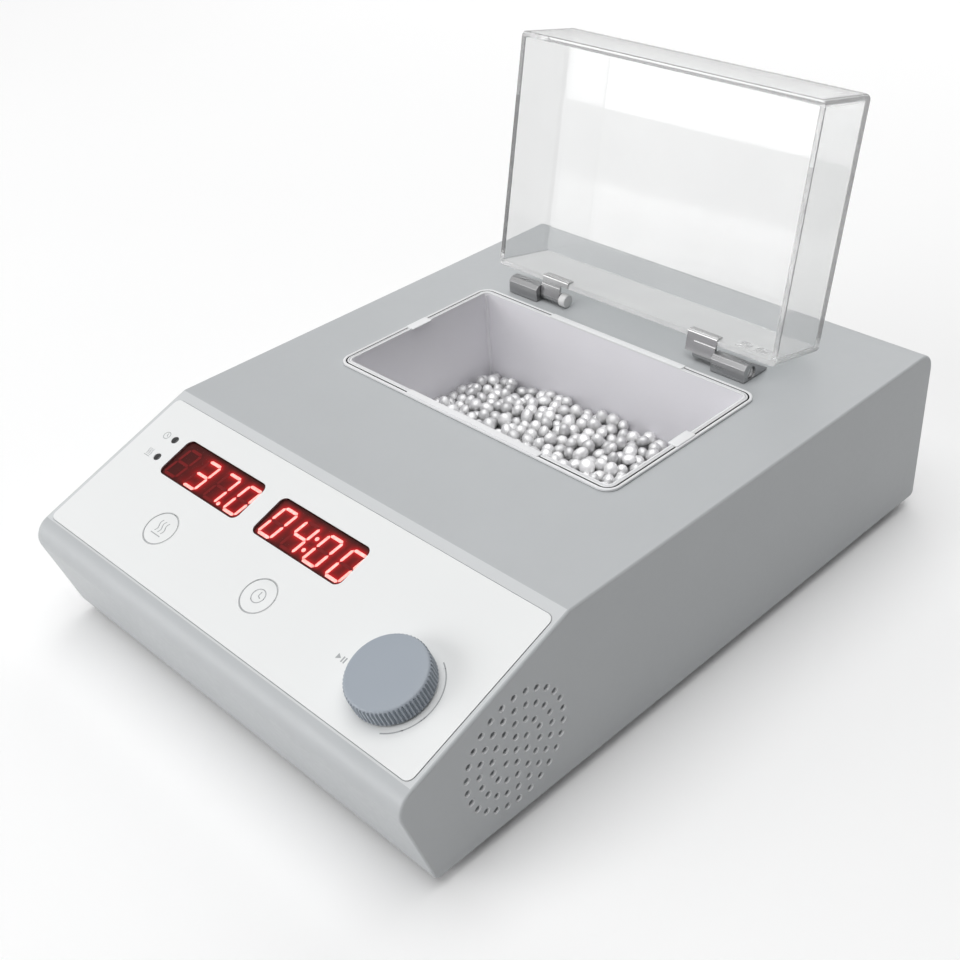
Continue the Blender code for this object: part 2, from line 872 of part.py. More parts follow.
def build_well(finishes):
    rim = extrusion(
        "well_rim",
        well_outline(0, RIM_CORNER),
        CASE_TOP + FIT,
        CASE_TOP + RIM_H,
        finish=finishes["light_plastic"],
    )
    skirt = extrusion(
        "join_rim_skirt",
        well_outline(RIM_WIDTH - RIM_SKIRT, RIM_CORNER - RIM_WIDTH + RIM_SKIRT),
        CASE_TOP - RIM_SKIRT_H,
        CASE_TOP + RIM_H / 2,
    )
    join(rim, skirt)
    through = extrusion(
        "cut_rim_inside",
        well_outline(RIM_WIDTH, RIM_CORNER - RIM_WIDTH),
        CASE_TOP - 0.02,
        CASE_TOP + 0.01,
    )
    cut(rim, through)

    tray = extrusion(
        "bead_tray",
        well_outline(TRAY_INSET, RIM_CORNER - TRAY_INSET),
        TRAY_FLOOR_Z,
        TRAY_TOP,
        finish=finishes["light_plastic"],
    )
    for name, x, y in tab_limits():
        notch = slab(
            f"cut_rim_notch_{name}",
            (x[0] - FIT, x[1] + FIT),
            (y[0] - FIT, y[1] + FIT),
            (TAB_TOP - TAB_T - FIT, CASE_TOP + 0.01),
        )
        cut(rim, notch)
        tab = slab(f"join_tray_tab_{name}", x, y, (TAB_TOP - TAB_T, TAB_TOP))
        join(tray, tab)
    inside = extrusion(
        "cut_tray_inside",
        well_outline(TRAY_INSET + TRAY_WALL, RIM_CORNER - TRAY_INSET - TRAY_WALL / 2),
        TRAY_FLOOR_Z + TRAY_WALL,
        CASE_TOP,
    )
    mouth = extrusion(
        "cut_tray_mouth",
        rounded(
            rectangle(
                -RIM_HALF_X + TRAY_INSET + TRAY_WALL + GRIP_REACH,
                RIM_HALF_X - TRAY_INSET - TRAY_WALL - GRIP_REACH,
                WELL_Y - RIM_HALF_Y + TRAY_INSET + TRAY_WALL,
                WELL_Y + RIM_HALF_Y - TRAY_INSET - TRAY_WALL,
            ),
            0.0016,
        ),
        CASE_TOP - 0.02,
        CASE_TOP + 0.01,
    )
    cut(tray, inside, mouth)
    build_tray_lips(tray)

    inset = TRAY_INSET + TRAY_WALL + GAP
    extrusion(
        "bead_bed",
        well_outline(inset, 0.003),
        TRAY_FLOOR_Z + TRAY_WALL + FIT,
        BEAD_LEVEL_Z,
        finish=finishes["bead_metal"],
        edge=0.0010,
    )


def build_tray_lips(tray):
    """Opens the tray's mouth to its full width beside the two grips."""
    x_in = RIM_HALF_X - TRAY_INSET - TRAY_WALL
    y_in = RIM_HALF_Y - TRAY_INSET - TRAY_WALL
    for name, sign in (("left", -1), ("right", 1)):
        for end, (y0, y1) in (
            ("front", (WELL_Y - y_in + 0.0015, WELL_Y - GRIP_HALF)),
            ("rear", (WELL_Y + GRIP_HALF, WELL_Y + y_in - 0.0015)),
        ):
            low, high = sorted((sign * x_in, sign * (x_in - 0.004)))
            tool = slab(
                f"cut_tray_lip_{name}_{end}",
                (low, high),
                (y0, y1),
                (CASE_TOP - 0.001, CASE_TOP + 0.01),
            )
            cut(tray, tool)


def build_heating(finishes):
    pocket = TRAY_INSET - GAP
    outer = pocket - BLOCK_WALL
    top = CASE_TOP - RIM_SKIRT_H - 0.0005
    floor = TRAY_FLOOR_Z - FIT
    block = extrusion(
        "heating_block",
        well_outline(outer, 0.004),
        floor - BLOCK_FLOOR,
        top,
        finish=finishes["aluminium"],
    )
    cut(block, extrusion("cut_block_pocket", well_outline(pocket, 0.0034), floor, top + 0.01))
    sensor_y = WELL_Y - RIM_HALF_Y + outer
    sensor_at = (SENSOR_X, sensor_y, floor - BLOCK_FLOOR / 2)
    bore = turned("cut_sensor_bore", drum(SENSOR_R + FIT, -0.01, 0.012), sides=12, axis="y")
    cut(block, put(bore, at=sensor_at))
    probe = turned(
        "temperature_sensor", drum(SENSOR_R, -0.008, 0.0105), finishes["steel"], 12, "y"
    )
    put(probe, at=sensor_at)

    heater_top = floor - BLOCK_FLOOR - FIT
    extrusion(
        "heater_pad",
        well_outline(outer + 0.002, 0.004),
        heater_top - HEATER_T,
        heater_top,
        finish=finishes["silicone"],
    )
    base = heater_top - HEATER_T - FIT
    jacket = extrusion(
        "insulation",
        well_outline(outer - GAP - INSULATION_T, 0.006),
        base - INSULATION_T,
        top - 0.002,
        finish=finishes["felt"],
    )
    cut(
        jacket,
        extrusion("cut_insulation_pocket", well_outline(outer - GAP, 0.0044), base, top + 0.01),
    )
    window = slab(
        "cut_insulation_window",
        (SENSOR_X - 0.007, SENSOR_X + 0.007),
        (sensor_y - 0.012, sensor_y + 0.002),
        (base + 0.0005, base + 0.014),
    )
    cut(jacket, window)
    cutout = turned(
        "thermal_cutout",
        drum(CUTOUT_R, 0.0, CUTOUT_T, 0.0004),
        finishes["black_plastic"],
        16,
        "y",
    )
    put(cutout, at=(CUTOUT_AT[0], sensor_y - GAP - CUTOUT_T, CUTOUT_AT[1]))
    nest = turned("cut_cutout_nest", drum(CUTOUT_R + 2 * FIT, -0.006, 0.006), sides=16, axis="y")
    cut(jacket, put(nest, at=(CUTOUT_AT[0], sensor_y - 0.002, CUTOUT_AT[1])))


# ---------------------------------------------------------------- rear and inside
def build_inlet(finishes):
    """A mains inlet with a six-sided socket and three pins standing in it."""
    z = FITTING_Z
    inlet = block_at(
        "power_inlet",
        INLET_X,
        z,
        INLET_BODY,
        (REAR_Y - WALL - INLET_DEEP, REAR_Y + 0.0010),
        finishes["black_plastic"],
    )
    flange = block_at(
        "join_inlet_flange", INLET_X, z, INLET_FLANGE, (REAR_Y + FIT, REAR_Y + 0.0018), edge=0.0004
    )
    join(inlet, flange)
    half_w, half_h, bevel = 0.0120, 0.0080, 0.0040
    socket_outline = [
        (INLET_X - half_w, z - half_h),
        (INLET_X + half_w, z - half_h),
        (INLET_X + half_w, z + half_h - bevel),
        (INLET_X + half_w - bevel, z + half_h),
        (INLET_X - half_w + bevel, z + half_h),
        (INLET_X - half_w, z + half_h - bevel),
    ]
    socket = extrusion(
        "cut_inlet_socket", socket_outline, REAR_Y - SOCKET_DEEP, REAR_Y + 0.01, "y"
    )
    cut(inlet, socket)
    for i, (dx, dz) in enumerate(PIN_PLACES):
        pin = block_at(
            f"join_inlet_pin_{i}",
            INLET_X + dx,
            z + dz,
            (0.0010, 0.0020),
            (REAR_Y - SOCKET_DEEP - 0.0015, REAR_Y - 0.0030),
        )
        join(inlet, pin)


def build_switch(finishes):
    """A power switch: a bezelled frame and the rocker that tips in it."""
    frame = block_at(
        "power_switch_frame",
        SWITCH_X,
        FITTING_Z,
        SWITCH_BODY,
        (REAR_Y - WALL - SWITCH_DEEP, REAR_Y + 0.0010),
        finishes["black_plastic"],
    )
    bezel = block_at(
        "join_switch_bezel",
        SWITCH_X,
        FITTING_Z,
        SWITCH_BEZEL,
        (REAR_Y + FIT, REAR_Y + 0.0016),
        edge=0.0004,
    )
    join(frame, bezel)
    well = block_at(
        "cut_switch_well",
        SWITCH_X,
        FITTING_Z,
        (ROCKER_HALF_X + GAP, 0.0082),
        (REAR_Y - 0.0105, REAR_Y + 0.01),
    )
    cut(frame, well)

    rocker_frame = frame_at(
        "power_rocker_frame", (SWITCH_X, ROCKER_AXIS_Y, FITTING_Z), ROCKER_TILT
    )
    rocker_outline = [
        (-0.0042, -0.0060),
        (0.0030, -0.0070),
        (0.0049, -0.0064),
        (0.0037, 0.0),
        (0.0049, 0.0064),
        (0.0030, 0.0070),
        (-0.0042, 0.0060),
    ]
    rocker = extrusion(
        "power_rocker",
        rocker_outline,
        -ROCKER_HALF_X,
        ROCKER_HALF_X,
        "x",
        finishes["black_plastic"],
    )
    put(rocker, rocker_frame)


def from_rear(route):
    """Route points given as (x, distance in front of the rear wall, z)."""
    return [(x, REAR_Y - back, z) for x, back, z in route]


def build_power_board(finishes):
    slab(
        "power_board",
        POWER_BOARD_X,
        (REAR_Y - POWER_BOARD_BACK[0], REAR_Y - POWER_BOARD_BACK[1]),
        (POWER_BOARD_Z, POWER_BOARD_Z + BOARD_T),
        finishes["board"],
        corner=0.002,
    )
    slab(
        "power_supply",
        (0.036, 0.074),
        (REAR_Y - 0.0565, REAR_Y - 0.0305),
        (PARTS_Z, PARTS_Z + 0.024),
        finishes["black_plastic"],
        0.0008,
    )
    slab(
        "heater_relay",
        (0.012, 0.030),
        (REAR_Y - 0.0525, REAR_Y - 0.0345),
        (PARTS_Z, PARTS_Z + 0.015),
        finishes["black_plastic"],
        0.0005,
    )
    fuse_r = 0.0026
    fuse = turned(
        "mains_fuse", drum(fuse_r, -0.010, 0.010, 0.0003), finishes["steel"], 12, "x"
    )
    put(fuse, at=(-0.016, REAR_Y - 0.0435, PARTS_Z + fuse_r))
    height = POWER_BOARD_Z - BASE_TOP - 2 * FIT
    for name, x, back in STANDOFFS:
        standoff = turned(
            f"board_standoff_{name}", drum(0.0028, 0.0, height), finishes["brass"], 6
        )
        put(standoff, at=(x, REAR_Y - back, BASE_TOP + FIT))


def build_leads(finishes):
    """Leads inside the case: along both side walls and between inlet and switch."""
    signal = [
        (0.0800, 0.0465, PARTS_Z + 0.0020),
        (0.0900, 0.0505, PARTS_Z + 0.0040),
        (LEAD_LANE, 0.0765, 0.0200),
        (LEAD_LANE, 0.1265, 0.0180),
        (LEAD_LANE, 0.1765, 0.0200),
        (0.0900, 0.2115, 0.0300),
        (0.0760, 0.2295, 0.0440),
    ]
    cable("signal_cable", from_rear(signal), 0.0016, finishes["felt"])
    heater = [
        (-0.0360, 0.0465, PARTS_Z + 0.0016),
        (-0.0600, 0.0475, PARTS_Z + 0.0030),
        (-0.0850, 0.0615, 0.0200),
        (-0.0900, 0.0965, 0.0180),
        (-0.0900, 0.1465, 0.0180),
        (-0.0800, 0.1815, 0.0250),
        (-0.0520, 0.1865, 0.0380),
    ]
    cable("heater_lead", from_rear(heater), 0.0013, finishes["silicone"])
    behind_inlet = WALL + INLET_DEEP + 0.0010
    behind_switch = WALL + SWITCH_DEEP + 0.0010
    mains = [
        (INLET_X, behind_inlet, FITTING_Z),
        (INLET_X + 0.004, behind_inlet + 0.0060, FITTING_Z - 0.001),
        (INLET_X + 0.020, behind_inlet + 0.0080, FITTING_Z - 0.004),
        (SWITCH_X - 0.006, behind_switch + 0.0090, FITTING_Z - 0.001),
        (SWITCH_X, behind_switch, FITTING_Z),
    ]
    cable("mains_lead", from_rear(mains), 0.0014, finishes["black_plastic"])


# ---------------------------------------------------------------- lid and hinges
def build_lid(finishes, lid_frame):
    """The lid, drawn shut in the frame on the hinge axis."""
    half = LID_W / 2
    front = LID_BACK - LID_L
    outline = rounded(rectangle(-half, half, front, LID_BACK), LID_CORNER, 3)
    bm = bmesh.new()
    top = LID_RIM + LID_H
    face = bm.faces.new([bm.verts.new((x, y, LID_RIM)) for x, y in outline])
    grown = bmesh.ops.extrude_face_region(bm, geom=[face])["geom"]
    raised = [g for g in grown if isinstance(g, bmesh.types.BMVert)]
    bmesh.ops.translate(bm, vec=(0, 0, LID_H), verts=raised)
    top_rim = [e for e in bm.edges if all(v.co.z > top - 1e-6 for v in e.verts)]
    bmesh.ops.bevel(bm, geom=top_rim, offset=0.0012, segments=2, profile=0.5, affect="EDGES")
    lid = add_object("lid", mesh_from("lid", bm), finishes["clear_plastic"])
    put(lid, lid_frame)
    inner = rectangle(
        -half + LID_WALL, half - LID_WALL, front + LID_WALL, LID_BACK - LID_WALL
    )
    hollow = extrusion(
        "cut_lid_hollow", rounded(inner, 0.0008, 2), LID_RIM - 0.01, top - LID_WALL
    )
    cut(lid, put(hollow, lid_frame))


def build_clip(name, sign, finishes, lid_frame):
    """A bent strip: a lip inside the lid's rear wall, a plate over its edge and a curl.

    The plate is narrower below its wide end, which leaves room for the pin's head.
    """
    plate_top = LID_RIM - FIT
    lip_in = LID_BACK - LID_WALL - FIT
    outline = [
        (sign * CLIP_IN, lip_in - CLIP_T),
        (sign * CLIP_OUT, lip_in - CLIP_T),
        (sign * CLIP_OUT, 0.0006),
        (sign * CLIP_STEP, 0.0006),
        (sign * CLIP_STEP, CLIP_WIDE_END[name]),
        (sign * CLIP_IN, CLIP_WIDE_END[name]),
    ]
    clip = extrusion(
        f"lid_clip_{name}", outline, plate_top - CLIP_T, plate_top, "z", finishes["steel"]
    )
    put(clip, lid_frame)
    lip = slab(
        f"join_clip_lip_{name}",
        sorted((sign * CLIP_IN, sign * CLIP_OUT)),
        (lip_in - CLIP_T, lip_in),
        (plate_top - CLIP_T, plate_top + CLIP_FLANGE),
    )
    narrow = sorted((sign * CLIP_STEP, sign * CLIP_OUT))
    knuckle = turned(f"join_clip_knuckle_{name}", drum(KNUCKLE_R, *narrow), axis="x")
    join(clip, put(lip, lid_frame), put(knuckle, lid_frame))
    across = sorted((sign * (CLIP_IN - 0.002), sign * (CLIP_OUT + 0.002)))
    bore = turned(f"cut_clip_bore_{name}", drum(PIN_R + RUN_CLEARANCE, *across), axis="x")
    cut(clip, put(bore, lid_frame))


def build_hinge_block(name, sign, finishes, hinge_frame):
    base = -HINGE_H + FIT
    outline = [
        (-0.0048, base),
        (0.0105, base),
        (0.0105, base + 0.0008),
        (0.0004, base + 0.0070),
        (-0.0033, base + 0.0070),
        (-0.0048, base + 0.0055),
    ]
    low, high = sorted((sign * BLOCK_IN, sign * BLOCK_OUT))
    block = extrusion(
        f"hinge_block_{name}", outline, low, high, "x", finishes["steel"], 0.0002, 1
    )
    put(block, hinge_frame)
    bore = turned(
        f"cut_block_bore_{name}",
        drum(PIN_R + RUN_CLEARANCE, low - 0.001, high + 0.001),
        axis="x",
    )
    counterbore = turned(
        f"cut_block_counterbore_{name}",
        drum(0.0026, *sorted((sign * (BLOCK_OUT - 0.0030), sign * (BLOCK_OUT + 0.001)))),
        axis="x",
    )
    cut(block, put(bore, hinge_frame), put(counterbore, hinge_frame))
    thread = holes(
        f"cut_block_thread_{name}",
        [(sign * HINGE_SCREW_X, HINGE_SCREW_Y - HINGE_Y)],
        0.0013,
        -0.004,
        -0.0005,
        "z",
        12,
    )
    cut(block, put(thread, hinge_frame))


def build_hinges(finishes, hinge_frame, lid_frame):
    for name, sign in (("left", -1), ("right", 1)):
        build_hinge_block(name, sign, finishes, hinge_frame)
        build_clip(name, sign, finishes, lid_frame)
    left_pin = turned(
        "hinge_pin_left",
        [
            (0, -BLOCK_OUT + 0.004),
            (PIN_R, -BLOCK_OUT + 0.004),
            (PIN_R, -CLIP_STEP + GAP),
            (PIN_HEAD_R, -CLIP_STEP + GAP),
            (PIN_HEAD_R, -CLIP_STEP + 0.0032),
            (PIN_HEAD_R - 0.0004, -CLIP_STEP + 0.0036),
            (0, -CLIP_STEP + 0.0036),
        ],
        finishes["steel"],
        24,
        "x",
    )
    put(left_pin, hinge_frame)
    right_pin = turned(
        "hinge_pin_right",
        [
            (0, CLIP_STEP),
            (PIN_R, CLIP_STEP),
            (PIN_R, BLOCK_OUT - 0.0027),
            (0.0024, BLOCK_OUT - 0.0027),
            (0.0024, BLOCK_OUT - 0.0008),
            (0, BLOCK_OUT - 0.0008),
        ],
        finishes["steel"],
        24,
        "x",
    )
    slot = slab(
        "cut_pin_slot",
        (BLOCK_OUT - 0.0016, BLOCK_OUT + 0.002),
        (-0.0004, 0.0004),
        (-0.004, 0.004),
    )
    put(right_pin, hinge_frame)
    cut(right_pin, put(slot, hinge_frame))


def build_hinge_screws(finishes):
    for name, sign in (("left", -1), ("right", 1)):
        screw = turned(
            f"hinge_screw_{name}",
            [
                (0, CASE_TOP - WALL - 0.0022),
                (0.0024, CASE_TOP - WALL - 0.0022),
                (0.0024, CASE_TOP - WALL - FIT),
                (0.0011, CASE_TOP - WALL - FIT),
                (0.0011, CASE_TOP + 0.0020),
                (0, CASE_TOP + 0.0020),
            ],
            finishes["steel"],
            12,
        )
        put(screw, at=(sign * HINGE_SCREW_X, HINGE_SCREW_Y, 0))


# ---------------------------------------------------------------- assembly
def build():
    clear_scene()
    finishes = make_finishes()
    panel = frame_at("panel_frame", (0, BROW_Y, CASE_TOP), PANEL_TILT)
    hinge_frame = frame_at("hinge_frame", (0, HINGE_Y, HINGE_Z))
    lid_frame = frame_at("lid_frame", (0, HINGE_Y, HINGE_Z), -LID_OPEN)

    build_case(finishes, panel)
    build_base(finishes)
    build_overlay(finishes, panel)
    build_displays(finishes, panel)
    build_board(finishes, panel)
    build_keys(finishes, panel)
    build_indicators(finishes, panel)
    build_encoder(finishes, panel)
    build_well(finishes)
    build_heating(finishes)
    build_inlet(finishes)
    build_switch(finishes)
    build_power_board(finishes)
    build_leads(finishes)
    build_hinges(finishes, hinge_frame, lid_frame)
    build_hinge_screws(finishes)
    build_lid(finishes, lid_frame)


build()
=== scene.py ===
"""Looks of the dry block heater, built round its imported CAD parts.

Metres, +Z up, the panel facing -Y. Panel pieces are drawn in the panel's own frame:
x to the right, y up the slope, z out of the film. Names that end in _S are distances
down the slope from its upper edge. Lid pieces are drawn shut, in a frame on the hinge
axis.
"""

import json
import random
from math import atan2, ceil, cos, exp, hypot, pi, radians, sin, tan

import bmesh
import bpy
import numpy as np
from mathutils import Euler, Matrix, Vector, kdtree, noise

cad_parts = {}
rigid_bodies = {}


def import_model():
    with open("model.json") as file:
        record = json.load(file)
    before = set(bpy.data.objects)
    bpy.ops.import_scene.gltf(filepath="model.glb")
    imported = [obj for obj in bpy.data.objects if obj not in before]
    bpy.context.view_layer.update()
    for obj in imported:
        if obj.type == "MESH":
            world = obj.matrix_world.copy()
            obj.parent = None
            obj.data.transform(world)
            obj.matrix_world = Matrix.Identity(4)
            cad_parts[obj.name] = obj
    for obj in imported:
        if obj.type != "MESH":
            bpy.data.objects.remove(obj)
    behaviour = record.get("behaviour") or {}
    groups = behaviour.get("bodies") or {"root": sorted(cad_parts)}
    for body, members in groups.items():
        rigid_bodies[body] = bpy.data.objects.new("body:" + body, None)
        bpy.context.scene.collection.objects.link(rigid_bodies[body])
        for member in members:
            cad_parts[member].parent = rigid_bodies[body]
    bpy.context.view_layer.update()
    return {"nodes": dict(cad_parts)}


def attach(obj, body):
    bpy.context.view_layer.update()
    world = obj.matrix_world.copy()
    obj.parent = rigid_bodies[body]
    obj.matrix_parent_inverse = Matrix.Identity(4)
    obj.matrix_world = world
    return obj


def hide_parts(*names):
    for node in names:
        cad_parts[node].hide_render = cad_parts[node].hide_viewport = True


# ---- sizes
CASE_W = 0.210
CASE_D = 0.293
CASE_H = 0.070
FOOT_H = 0.005
WALL = 0.0025
FIT = 0.0002
UNDERCUT = 0.0133
NOSE_H = 0.0419
NOSE_CORNER = 0.0085
REAR_CORNER = 0.0080
CASE_CORNER = 0.0025
SIDE_EDGE = 0.0010
PANEL_RUN = 0.0771
FRONT_Y = -CASE_D / 2 - 0.0022
REAR_Y = FRONT_Y + CASE_D
BROW_Y = FRONT_Y + PANEL_RUN
CASE_BOTTOM = FOOT_H
CASE_TOP = FOOT_H + CASE_H
PANEL_TILT = atan2(CASE_H - NOSE_H, PANEL_RUN)
SCREW_PLACES = [(x, y) for x in (-0.0925, 0.0925) for y in (FRONT_Y + 0.0365, FRONT_Y + 0.2725)]

WELL_Y = FRONT_Y + 0.17525
RIM_HALF = (0.0738, 0.04355)
RIM_CORNER = 0.0060
RIM_LIP = 0.0010
RIM_TOP = CASE_TOP + 0.0011
GROOVE_ROWS = (6, 7, 8)
TRAY_INSET = 0.0027
TRAY_WALL = 0.0010
SEAM_R = 0.00075
TRAY_FLOOR = CASE_BOTTOM + 0.0145
TAB_TOP = RIM_TOP + 0.0004
TAB_X = (-0.0320, 0.0390)
GRIP_HALF = 0.0055
BEAD_LEVEL = CASE_BOTTOM + 0.0345

HINGE_Y = FRONT_Y + 0.2279
HINGE_Z = CASE_TOP + 0.0031
LID_OPEN = radians(101.4)
LID_HALF_X = 0.0740
LID_BACK = -0.0057
LID_FRONT = LID_BACK - 0.1008
LID_RIM = -0.0012
LID_TOP = LID_RIM + 0.0312
LID_WALL = 0.0024
LID_CORNER = 0.0022
LID_EDGE = 0.0014
PIN_R = 0.0015
PIN_BORE_R = PIN_R + 0.0001
PIN_HEAD_R = 0.00285
SLOTTED_HEAD_R = 0.0024
PIN_SLOT_TURN = radians(-28)
KNUCKLE_R = 0.0024
CLIP_T = 0.0007
CLIP_BEND = 0.0003
CLIP_X = (0.0323, 0.0363, 0.0468)
CLIP_FLANGE = 0.0030
CLIP_WIDE_END = {"left": -0.0062, "right": 0.0}
BLOCK_X = (0.0471, 0.0635)
BLOCK_H = 0.0070
BLOCK_MOUTH_R = 0.0026

FILM_W = 0.2050
FILM_S = (0.0047, 0.0730)
FILM_SUNK = 0.0003
FILM_TOP = 0.0003
FILM_EDGE = 0.00012
DISPLAY_S = (0.0167, 0.0347)
DISPLAY_X = {"left": (-0.0786, -0.0295), "right": (-0.0200, 0.0289)}
KEY_X = {"heat": -0.0536, "timer": 0.0058}
KEY_S = 0.0524
KEY_R = 0.0073
LED_X = -0.0850
LED_S = {"timer": 0.0205, "heat": 0.0300}
LED_R = 0.0016
KNOB_X = 0.0747
KNOB_S = 0.0512
KNOB_R = 0.0148
KNOB_BOTTOM = 0.0012
KNOB_H = 0.0074
BUSH_HOLE_R = 0.0046
SHAFT_HOLE_R = 0.0050
RIBS = 64
RIB_DEPTH = 0.00075
KNOB_SOCKET_R = 0.0126

VENT_Y = FRONT_Y + UNDERCUT + 0.0375
VENT_Z = CASE_BOTTOM + 0.0292
VENT_PITCH = 0.0055
VENT_RINGS = ((6, 0.5), (14, 0.5), (20, 0.0), (26, 0.5))
VENT_HOLE_R = 0.00105
VENT_MOUTH_R = 0.00145
VENT_MOUTH_DEPTH = 0.0008
VENT_FIELD_R = 0.0260

FITTING_Z = 0.0370
INLET_X = -0.0600
INLET_HALF = (0.0140, 0.0105)
SWITCH_X = -0.0200
SWITCH_HALF = (0.0068, 0.0098)

PRINT_T = 0.00003
LAMP_ICON = 0.0032
KEY_ICON = 0.0056
KNOB_ARC_R = 0.0168
KNOB_ARC_TURN = 62
PLAY_MARK_H = 0.0022

DIGIT_H = 0.0142
DIGIT_W = 0.0081
SEGMENT_T = 0.00125
SEGMENT_GAP = 0.00022
SLANT = 0.150
DOT_R = 0.00085
LIT_Z = -0.00055
UNLIT_Z = -0.00058
BACKING_Z = -0.0006
COVER_Z = -0.0004
DIGIT_S = 0.0265
BACKING_GRID = (98, 36)
DIGIT_PITCH = 0.0126
SHOWN = {"left": (-0.0347 - 3 * DIGIT_PITCH, " 370"), "right": (-0.0134, "0400")}
SEGMENTS = {"0": "abcdef", "3": "abcdg", "4": "bcfg", "7": "abc", " ": ""}

BEAD_R = 0.00292
BEAD_SIZES = (0.88, 1.08)
BEAD_STRETCH = ((1.02, 1.20), (0.92, 1.04), (0.80, 0.95))
HEAP_SEED = 11
HEAP_LAYERS = 3
SETTLING_PASSES = 36

AREA_LIGHTS = {
    "behind": ((-0.5, 1.3, 1.2), (1.8, 1.2), 9),
    "front_left": ((-0.75, -1.2, 0.4), (1.0, 0.6), 5.5),
    "front": ((-0.35, -1.4, 0.6), (1.0, 0.8), 4.5),
}
LIT_POINT = (0, 0, 0.05)
SKY_POWER = 2.2
SKY_ANGLE = radians(64)
SKY_TILT = radians(6)
ROOM_SEEN = 0.80
ROOM_LIGHT = 0.02
LENS = 51.436
CAMERA_PLACE = (0.32996, -0.31321, 0.34832)
CAMERA_TURN = (55.8836, 3.1064, 45.2623)

PANEL = Matrix.Translation((0, BROW_Y, CASE_TOP)) @ Matrix.Rotation(PANEL_TILT, 4, "X")
SHUT_LID = Matrix.Translation((0, HINGE_Y, HINGE_Z)) @ Matrix.Rotation(-LID_OPEN, 4, "X")
HINGE = Matrix.Translation((0, HINGE_Y, HINGE_Z))
HERE = Matrix.Identity(4)
SIDES = (("left", -1), ("right", 1))
SHARP_ANGLE = radians(35)
CARVED_SHARP_ANGLE = radians(30)


# ---- mesh tools
def add_to_scene(name, data):
    made = bpy.data.objects.new(name, data)
    bpy.context.scene.collection.objects.link(made)
    return made


def add_object(name, mesh, place=HERE):
    made = add_to_scene(name, mesh)
    made.matrix_world = place
    return made


def from_bmesh(name, bm, place=HERE):
    """Closes a bmesh into an object, smooth but for its sharp edges."""
    bmesh.ops.recalc_face_normals(bm, faces=bm.faces)
    mesh = bpy.data.meshes.new(name)
    bm.to_mesh(mesh)
    bm.free()
    mesh.shade_smooth()
    mesh.set_sharp_from_angle(angle=SHARP_ANGLE)
    return add_object(name, mesh, place)


def dress(piece, materials, body, replaced=None):
    """Gives a piece its materials, the body it moves with and the node it replaces."""
    for material in materials:
        piece.data.materials.append(material)
    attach(piece, body)
    if replaced:
        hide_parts(replaced)


def rectangle(x0, x1, y0, y1):
    return [(x0, y0), (x1, y0), (x1, y1), (x0, y1)]


def rounded(corners, radii, steps=10):
    """The outline with each corner replaced by an arc of its radius."""
    if not isinstance(radii, (list, tuple)):
        radii = [radii] * len(corners)
    outline = []
    for i, corner in enumerate(corners):
        here = Vector(corner)
        to_last = (Vector(corners[i - 1]) - here).normalized()
        to_next = (Vector(corners[(i + 1) % len(corners)]) - here).normalized()
        half = to_last.angle(to_next) / 2
        if radii[i] == 0:
            outline.append(tuple(here))
            continue
        centre = here + (to_last + to_next).normalized() * (radii[i] / sin(half))
        start = here + to_last * (radii[i] / tan(half)) - centre
        turn = 1 if to_last.cross(to_next) < 0 else -1
        for k in range(steps + 1):
            a = turn * (pi - 2 * half) * k / steps
            x = centre.x + start.x * cos(a) - start.y * sin(a)
            y = centre.y + start.x * sin(a) + start.y * cos(a)
            outline.append((x, y))
    return outline


def arc(centre, radius, start, end, steps):
    """Points of an arc, angles in degrees."""
    points = []
    for k in range(steps + 1):
        a = radians(start + (end - start) * k / steps)
        points.append((centre[0] + radius * cos(a), centre[1] + radius * sin(a)))
    return points


def circle(centre, radius, steps):
    return arc(centre, radius, 0, 360, steps)[:-1]


def mirrored(points, sign):
    """Pairs of limits kept in rising order on either side of the middle."""
    return sorted(sign * p for p in points)


def wrap(bm, lower, upper):
    """Adds the faces between two closed rows of equally many vertices."""
    for k in range(len(lower)):
        n = (k + 1) % len(lower)
        bm.faces.new((lower[k], lower[n], upper[n], upper[k]))


AXIS_POINT = {
    "x": lambda u, v, w: (w, u, v),
    "y": lambda u, v, w: (u, w, v),
    "z": lambda u, v, w: (u, v, w),
}


def prism(name, outline, low, high, axis="z", place=HERE, edge=0.0, steps=3):
    """A solid with a flat outline, its two rims rounded by edge."""
    bm = bmesh.new()
    point = AXIS_POINT[axis]
    face = bm.faces.new([bm.verts.new(point(u, v, low)) for u, v in outline])
    grown = bmesh.ops.extrude_face_region(bm, geom=[face])["geom"]
    shift = Vector(point(0, 0, high)) - Vector(point(0, 0, low))
    raised = [g for g in grown if isinstance(g, bmesh.types.BMVert)]
    bmesh.ops.translate(bm, vec=shift, verts=raised)
    bmesh.ops.recalc_face_normals(bm, faces=bm.faces)
    if edge:
        index = "xyz".index(axis)
        rims = [e for e in bm.edges if abs(e.verts[0].co[index] - e.verts[1].co[index]) < 1e-6]
        bmesh.ops.bevel(bm, geom=rims, offset=edge, segments=steps, profile=0.5, affect="EDGES")
    return from_bmesh(name, bm, place)


def slab(name, x, y, z, place=HERE, edge=0.0, corner=0.0):
    """A box from its limits, its upright corners rounded by corner."""
    outline = rectangle(*x, *y)
    if corner:
        outline = rounded(outline, corner, 8)
    return prism(name, outline, *z, place=place, edge=edge)


